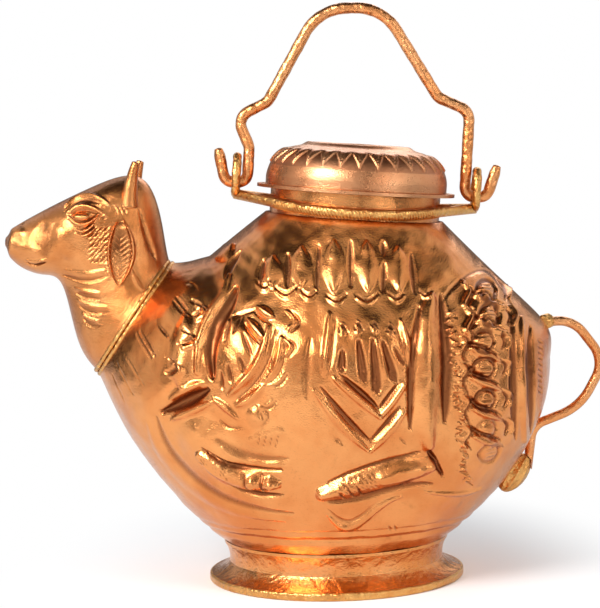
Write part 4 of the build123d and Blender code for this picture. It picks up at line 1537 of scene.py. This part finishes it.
def rounded_path(corners: Path, radii: Sequence[float]) -> np.ndarray:
    """A path of straight runs with rounded corners, in the plane Y = 0.

    Args:
        corners: its corners in the side view.
        radii: the radius at each inner corner.

    Returns:
        Points along it, about PATH_STEP apart.
    """
    corners = np.array(corners, float)
    parts = [corners[:1]]
    for before, corner, after, radius in zip(corners, corners[1:], corners[2:], radii):
        into, out = corner - before, after - corner
        into, out = into / np.linalg.norm(into), out / np.linalg.norm(out)
        turn = math.acos(float(np.clip(into @ out, -1, 1)))
        reach = radius * math.tan(turn / 2)
        side = np.sign(into[0] * out[1] - into[1] * out[0]) * np.array([-into[1], into[0]])
        centre = corner - into * reach + side * radius
        angle = np.linspace(0, turn, max(4, int(radius * turn / PATH_STEP)))[:, None]
        parts.append(centre + radius * (np.sin(angle) * into - np.cos(angle) * side))
    parts.append(corners[-1:])
    knots = np.concatenate(parts)
    run = travelled(np.linalg.norm(np.diff(knots, axis=0), axis=1))
    at = np.linspace(0, run[-1], int(run[-1] / PATH_STEP))
    return np.stack([np.interp(at, run, knots[:, 0]), 0 * at, np.interp(at, run, knots[:, 1])], 1)


@dataclass
class BailFittings:
    """The forged bail and the two loops that carry it."""

    radius: float = 2.1
    eye_x: float = 43.0
    hook_span: float = 4.0
    hook_splay: float = 3.0
    hook_rise: float = 11.5
    rise: float = 1.0
    clear_rise: float = 13.9
    middle: float = 10.0
    shoulder: Point = (41.6, 166.4)
    waist: Point = (30.4, 171.6)
    arch: Point = (11.4, 204.1)
    bends: tuple[float, ...] = (3.4, 3.4, 5.0, 5.0, 5.0, 17.0)
    eye_rise: float = 3.6
    eye_half_height: float = 6.7
    eye_half_width: float = 4.8
    eye_metal: float = 1.5

    def bail(self) -> Piece:
        """The bail: one rod, a little uneven from the hammer, with rounded ends.

        Returns:
            The bail.
        """
        far, near = self.eye_x + self.hook_span, self.eye_x - self.hook_span
        hook = (
            (far + self.hook_splay, self.rise + self.hook_rise), (far, self.rise), (near, self.rise),
            (near, self.clear_rise),
        )
        corners: list[Point] = []
        for end in End:
            half = [tuple(NECK.world(end * along, 0.0, rise)[[0, 2]]) for along, rise in hook]
            half += [(self.middle + end * x, z) for x, z in (self.shoulder, self.waist, self.arch)]
            corners += half if end is End.HEAD else half[::-1]
        path = rounded_path(corners, self.bends + self.bends[::-1])
        s = np.arange(len(path)) * PATH_STEP
        uneven = 0.5 * np.sin(s * 0.61) + 0.3 * np.sin(s * 1.37 + 1) + 0.2 * np.sin(s * 2.3 + 2)
        ends = smooth_step(np.minimum(s, s[-1] - s), -2.0, 3.0)
        radii = self.radius * (0.955 + 0.045 * uneven) * (0.55 + 0.45 * ends)
        points, faces = sweep_tube(path, radii, 22)
        return Piece("bail_rod", points, faces, Finishes.ROD, BAIL, stands_for=("bail",))

    def eye(self, end: End) -> Piece:
        """One loop, bent from thick rod, on edge to the neck.

        Args:
            end: the end of the vessel that it is on.

        Returns:
            The loop.
        """
        turn = np.linspace(-math.pi / 2, 1.5 * math.pi, 90)
        side = self.eye_half_width * np.sign(np.cos(turn)) * np.abs(np.cos(turn)) ** 0.85
        path = NECK.world(end * self.eye_x, side, self.eye_rise + self.eye_half_height * np.sin(turn))
        radii = self.eye_metal * (1 + 0.05 * np.sin(turn * 5 + end) + 0.03 * np.sin(turn * 11))
        points, faces = sweep_tube(path, radii, 20)
        name = f"{end.word}_side_eye"
        return Piece(name + "_loop", points, faces, Finishes.BRASS, stands_for=(name,))


# ---------------------------------------------------------------- hoop wire, repeated along its rod
class NodeRecipe(Tree):
    """One geometry-node tree while it is being built."""

    def __init__(self, name: str, sizes: dict[str, float]) -> None:
        """Starts a tree with named number inputs.

        Args:
            name: the tree's name.
            sizes: the inputs' names and values.
        """
        super().__init__(bpy.data.node_groups.new(name, "GeometryNodeTree"))
        face = self.tree.interface
        for way in ("INPUT", "OUTPUT"):
            face.new_socket("Geometry", in_out=way, socket_type="NodeSocketGeometry")
        self.sizes = {}
        for key, size in sizes.items():
            socket = face.new_socket(key, in_out="INPUT", socket_type="NodeSocketFloat")
            self.sizes[socket.identifier] = size
        self.entry = self.node("NodeGroupInput").outputs

    def finish(self, geometry: bpy.types.NodeSocket, material: bpy.types.Material) -> None:
        """Ends the tree in Realize Instances and Set Material.

        Args:
            geometry: what the tree has made.
            material: its material.
        """
        real = self.node("GeometryNodeRealizeInstances", None, {"Geometry": geometry})
        inputs = {"Geometry": real.outputs[0], "Material": material}
        dressed = self.node("GeometryNodeSetMaterial", None, inputs)
        self.node("NodeGroupOutput", None, {0: dressed.outputs[0]})

    def run(self, source: bpy.types.Object, name: str) -> bpy.types.Object:
        """Runs the tree on an object and keeps the result as a plain mesh.

        Args:
            source: the object that carries the path; it is removed.
            name: the new object's name.

        Returns:
            The plain mesh's object.
        """
        modifier = source.modifiers.new(name, "NODES")
        modifier.node_group = self.tree
        for identifier, size in self.sizes.items():
            modifier[identifier] = size
        mesh = bpy.data.meshes.new_from_object(source.evaluated_get(bpy.context.evaluated_depsgraph_get()))
        source.modifiers.remove(modifier)
        bpy.data.objects.remove(source)
        mesh.name = name
        return add_object(name, mesh)


@dataclass
class HoopBinding:
    """Fine wire wound round the two rods of the hoop."""

    hoop_radius: float = 32.6
    rod_radius: float = 1.8
    drop: float = 3.2
    front_drop: float = 6.6
    wire: float = 0.26
    pitch: float = 1.15
    tilt: float = 0.35
    reach: float = math.radians(66)

    def path(self, side: Side) -> np.ndarray:
        """The rod's middle line on one flank.

        Args:
            side: the flank.

        Returns:
            Points along it.
        """
        turn = np.linspace(-self.reach, self.reach, 60)
        sag = (self.front_drop - self.drop) / self.hoop_radius
        along, out = self.hoop_radius * np.sin(turn), self.hoop_radius * np.cos(turn)
        return NECK.world(along, side * out, -self.drop - sag * out)

    def build(self, side: Side) -> bpy.types.Object:
        """Winds the wire along one rod with geometry nodes.

        Args:
            side: the flank of the rod.

        Returns:
            The wound wire's object.
        """
        name = "hoop_binding_front" if side is Side.LEFT else "hoop_binding_rear"
        curve = bpy.data.curves.new(name + "_path", "CURVE")
        curve.dimensions = "3D"
        points = self.path(side) * MM
        spline = curve.splines.new("POLY")
        spline.points.add(len(points) - 1)
        spline.points.foreach_set("co", np.c_[points, np.ones(len(points))].ravel())
        source = add_object(name + "_path", curve)
        sizes = {"Pitch": self.pitch * MM, "Rod": self.rod_radius * MM, "Wire": self.wire * MM}
        recipe = NodeRecipe(name, {**sizes, "Tilt": self.tilt})
        entry = recipe.entry
        along = {"Curve": entry["Geometry"], "Length": entry["Pitch"]}
        spaced = recipe.node("GeometryNodeCurveToPoints", {"mode": "LENGTH"}, along).outputs
        rounds = ({"Resolution": 20, "Radius": entry["Rod"]}, {"Resolution": 6, "Radius": entry["Wire"]})
        loop, section = (recipe.node("GeometryNodeCurvePrimitiveCircle", None, size) for size in rounds)
        curves = {"Curve": loop.outputs[0], "Profile Curve": section.outputs[0]}
        ring = recipe.node("GeometryNodeCurveToMesh", None, curves)
        lean = recipe.node("ShaderNodeCombineXYZ", None, {"X": entry["Tilt"]})
        turned = {"Geometry": ring.outputs[0], "Rotation": lean.outputs[0]}
        tilted = recipe.node("GeometryNodeTransform", None, turned)
        spread = {"Points": spaced["Points"], "Instance": tilted.outputs[0], "Rotation": spaced["Rotation"]}
        wound = recipe.node("GeometryNodeInstanceOnPoints", None, spread)
        recipe.finish(wound.outputs[0], FINISHES.material(Finishes.BRASS))
        thing = recipe.run(source, name)
        thing.data.polygons.foreach_set("use_smooth", [True] * len(thing.data.polygons))
        dress(thing, VESSEL)
        return thing


# ---------------------------------------------------------------- studio
MIDDLE = (0.0, 0.0, 90.0)


def facing(at: Place, aim: Place) -> Quaternion:
    """The turn of a camera, lamp or card that stands at one place and faces another."""
    return (Vector(aim) - Vector(at)).to_track_quat("-Z", "Y")


def square_mesh(name: str, width: float, height: float) -> bpy.types.Mesh:
    """Makes a flat four-cornered mesh round the origin.

    Args:
        name: its name.
        width: its width in millimetres.
        height: its height in millimetres.

    Returns:
        The mesh.
    """
    mesh = bpy.data.meshes.new(name)
    x, y = width / 2 * MM, height / 2 * MM
    mesh.from_pydata([(-x, -y, 0), (x, -y, 0), (x, y, 0), (-x, y, 0)], [], [(0, 1, 2, 3)])
    return mesh


@dataclass(frozen=True)
class SoftBox:
    """A soft lamp that faces the vessel."""

    name: str
    at: Place
    size: Point
    watts: float

    def hang(self) -> None:
        """Hangs the lamp."""
        data = bpy.data.lights.new(self.name, "AREA")
        data.shape, data.energy = "RECTANGLE", self.watts
        data.size, data.size_y = self.size[0] * MM, self.size[1] * MM
        lamp = add_object(self.name, data)
        lamp.location = Vector(self.at) * MM
        lamp.rotation_euler = facing(self.at, MIDDLE).to_euler()


@dataclass(frozen=True)
class Flag:
    """A dark card beside the set, which only the metal's reflections see."""

    name: str
    at: Place
    size: Point
    shade: float
    aim: Place = MIDDLE

    def stand(self) -> None:
        """Stands the card up."""
        mesh = square_mesh(self.name, *self.size)
        mesh.transform(Matrix.LocRotScale(Vector(self.at) * MM, facing(self.at, self.aim), None))
        tree = ShaderTree(self.name)
        colour = (self.shade, self.shade * 0.9, self.shade * 0.82, 1)
        glow = tree.node("ShaderNodeEmission", None, {"Color": colour, "Strength": 1.0})
        mesh.materials.append(tree.surface(glow))
        card = add_object(self.name, mesh)
        card.visible_camera = card.visible_diffuse = card.visible_shadow = False


@dataclass
class Studio:
    """The camera of the photograph, a pale floor and soft light."""

    camera_at: Place = (-10.771, -774.0, 163.0)
    aim: Place = (-10.771, 0.0, 98.878)
    roll: float = math.radians(1.5)
    focal_length: float = 127.74
    sensor: float = 36.0
    floor_reach: float = 3000.0
    floor_fade: Point = (60.0, 125.0)
    floor_stretch: Place = (1.0, 0.6, 1.0)
    floor_grey: Colour = (0.86, 0.86, 0.86)
    fill_colour: Colour = (0.9, 0.95, 1.0)
    fill_strength: float = 0.55
    lamps: tuple[SoftBox, ...] = (
        SoftBox("key_softbox", (-520, -560, 560), (380, 380), 9.0),
        SoftBox("fill_softbox", (620, -520, 330), (300, 500), 4.0),
        SoftBox("back_softbox", (200, 760, 560), (600, 300), 1.2),
    )
    flags: tuple[Flag, ...] = (
        Flag("flag_overhead", (20, 60, 600), (900, 640), 0.04),
        Flag("flag_above_front", (230, -600, 520), (420, 300), 0.05),
        Flag("flag_left", (-640, -300, 200), (170, 700), 0.04),
        Flag("flag_left_rear", (-560, 260, 200), (300, 600), 0.05),
        Flag("flag_right", (600, -360, 160), (420, 700), 0.04),
        Flag("flag_floor_right", (420, -230, 3), (330, 420), 0.05, (420, -230, 500)),
        Flag("flag_camera", (110, -820, 110), (230, 420), 0.10),
        Flag("flag_behind", (0, 1100, 330), (1500, 620), 0.16),
        Flag("flag_low", (-60, -720, 20), (900, 70), 0.10),
    )

    def camera(self) -> None:
        """Sets up the camera at the photograph's angle."""
        data = bpy.data.cameras.new("photograph_view")
        data.lens, data.sensor_width = self.focal_length, self.sensor
        data.clip_start, data.clip_end = 0.01, 50.0
        camera = add_object("photograph_view", data)
        camera.matrix_world = facing(self.camera_at, self.aim).to_matrix().to_4x4()
        camera.rotation_euler.rotate_axis("Z", -self.roll)
        camera.location = Vector(self.camera_at) * MM
        bpy.context.scene.camera = camera

    def floor(self) -> None:
        """Lays the pale floor, which fades to white away from the vessel."""
        mesh = square_mesh("floor", 2 * self.floor_reach, 2 * self.floor_reach)
        tree = ShaderTree("pale_floor")
        matt = tree.node("ShaderNodeBsdfDiffuse", None, {"Color": (*self.floor_grey, 1)})
        white = tree.node("ShaderNodeEmission", None, {"Color": WHITE, "Strength": 1.0})
        seen = Value(tree, tree.node("ShaderNodeLightPath").outputs["Is Camera Ray"])
        far = tree.node("ShaderNodeVectorMath", {"operation": "LENGTH"}, {0: tree.place(self.floor_stretch)})
        share = Value(tree, far.outputs["Value"]).between(*self.floor_fade) * seen
        layers = {0: share, 1: matt.outputs[0], 2: white.outputs[0]}
        mesh.materials.append(tree.surface(tree.node("ShaderNodeMixShader", None, layers)))
        floor = add_object("floor", mesh)

    def world(self) -> None:
        """Gives the world a white background for the camera and for gloss, and a plain fill."""
        world = bpy.data.worlds.new("studio")
        bpy.context.scene.world = world
        world.use_nodes = True
        tree = Tree(world.node_tree)
        rays = tree.node("ShaderNodeLightPath").outputs
        seen = rays["Is Camera Ray"]
        for kind in ("Is Glossy Ray", "Is Transmission Ray"):
            either = {0: seen, 1: rays[kind]}
            seen = tree.node("ShaderNodeMath", {"operation": "MAXIMUM"}, either).outputs[0]
        fill, white = (
            tree.node("ShaderNodeBackground", None, {"Color": colour, "Strength": strength}).outputs[0]
            for colour, strength in (((*self.fill_colour, 1), self.fill_strength), (WHITE, 1.0))
        )
        mix = tree.node("ShaderNodeMixShader", None, {0: seen, 1: fill, 2: white})
        tree.node("ShaderNodeOutputWorld", None, {"Surface": mix.outputs[0]})

    def build(self) -> None:
        """Sets the whole studio up."""
        self.camera()
        self.floor()
        self.world()
        for lamp in self.lamps:
            lamp.hang()
        for flag in self.flags:
            flag.stand()
        bpy.context.scene.view_settings.view_transform = "Standard"


def main() -> None:
    """Builds the sub-assemblies in order and dresses what keeps its solid."""
    logging.basicConfig(level=logging.INFO, format="%(name)s %(message)s")
    Studio().build()
    body, head, trim = BodySkins(), HeadSkins(), HeadTrim()
    for side in Side:
        body.build(side).place()
        head.build(side).place()
        trim.horn(side).place()
        trim.ear(side).place()
        HoopBinding().build(side)
    for wire in trim.band(head):
        wire.place()
    fittings = BailFittings()
    for end in End:
        fittings.eye(end).place()
    fittings.bail().place()
    LidSkin().build().place()
    tuft = TailTuft()
    tuft.build().place()
    tuft.braze().place()
    solids = {
        Finishes.FOOT_SKIN: ("foot_ring", "foot_collar", "base_plate"),
        Finishes.SKIN: ("neck_collar",),
        Finishes.LID_SKIN: ("lid_brim", "lid_skirt"),
        Finishes.ROD: ("tail_rod",),
        Finishes.BRASS: ("foot_rim", "hoop_front_rod", "hoop_rear_rod"),
    }
    for finish, nodes in solids.items():
        for node in nodes:
            dress_solid(node, finish)


if __name__ == "__main__":
    main()
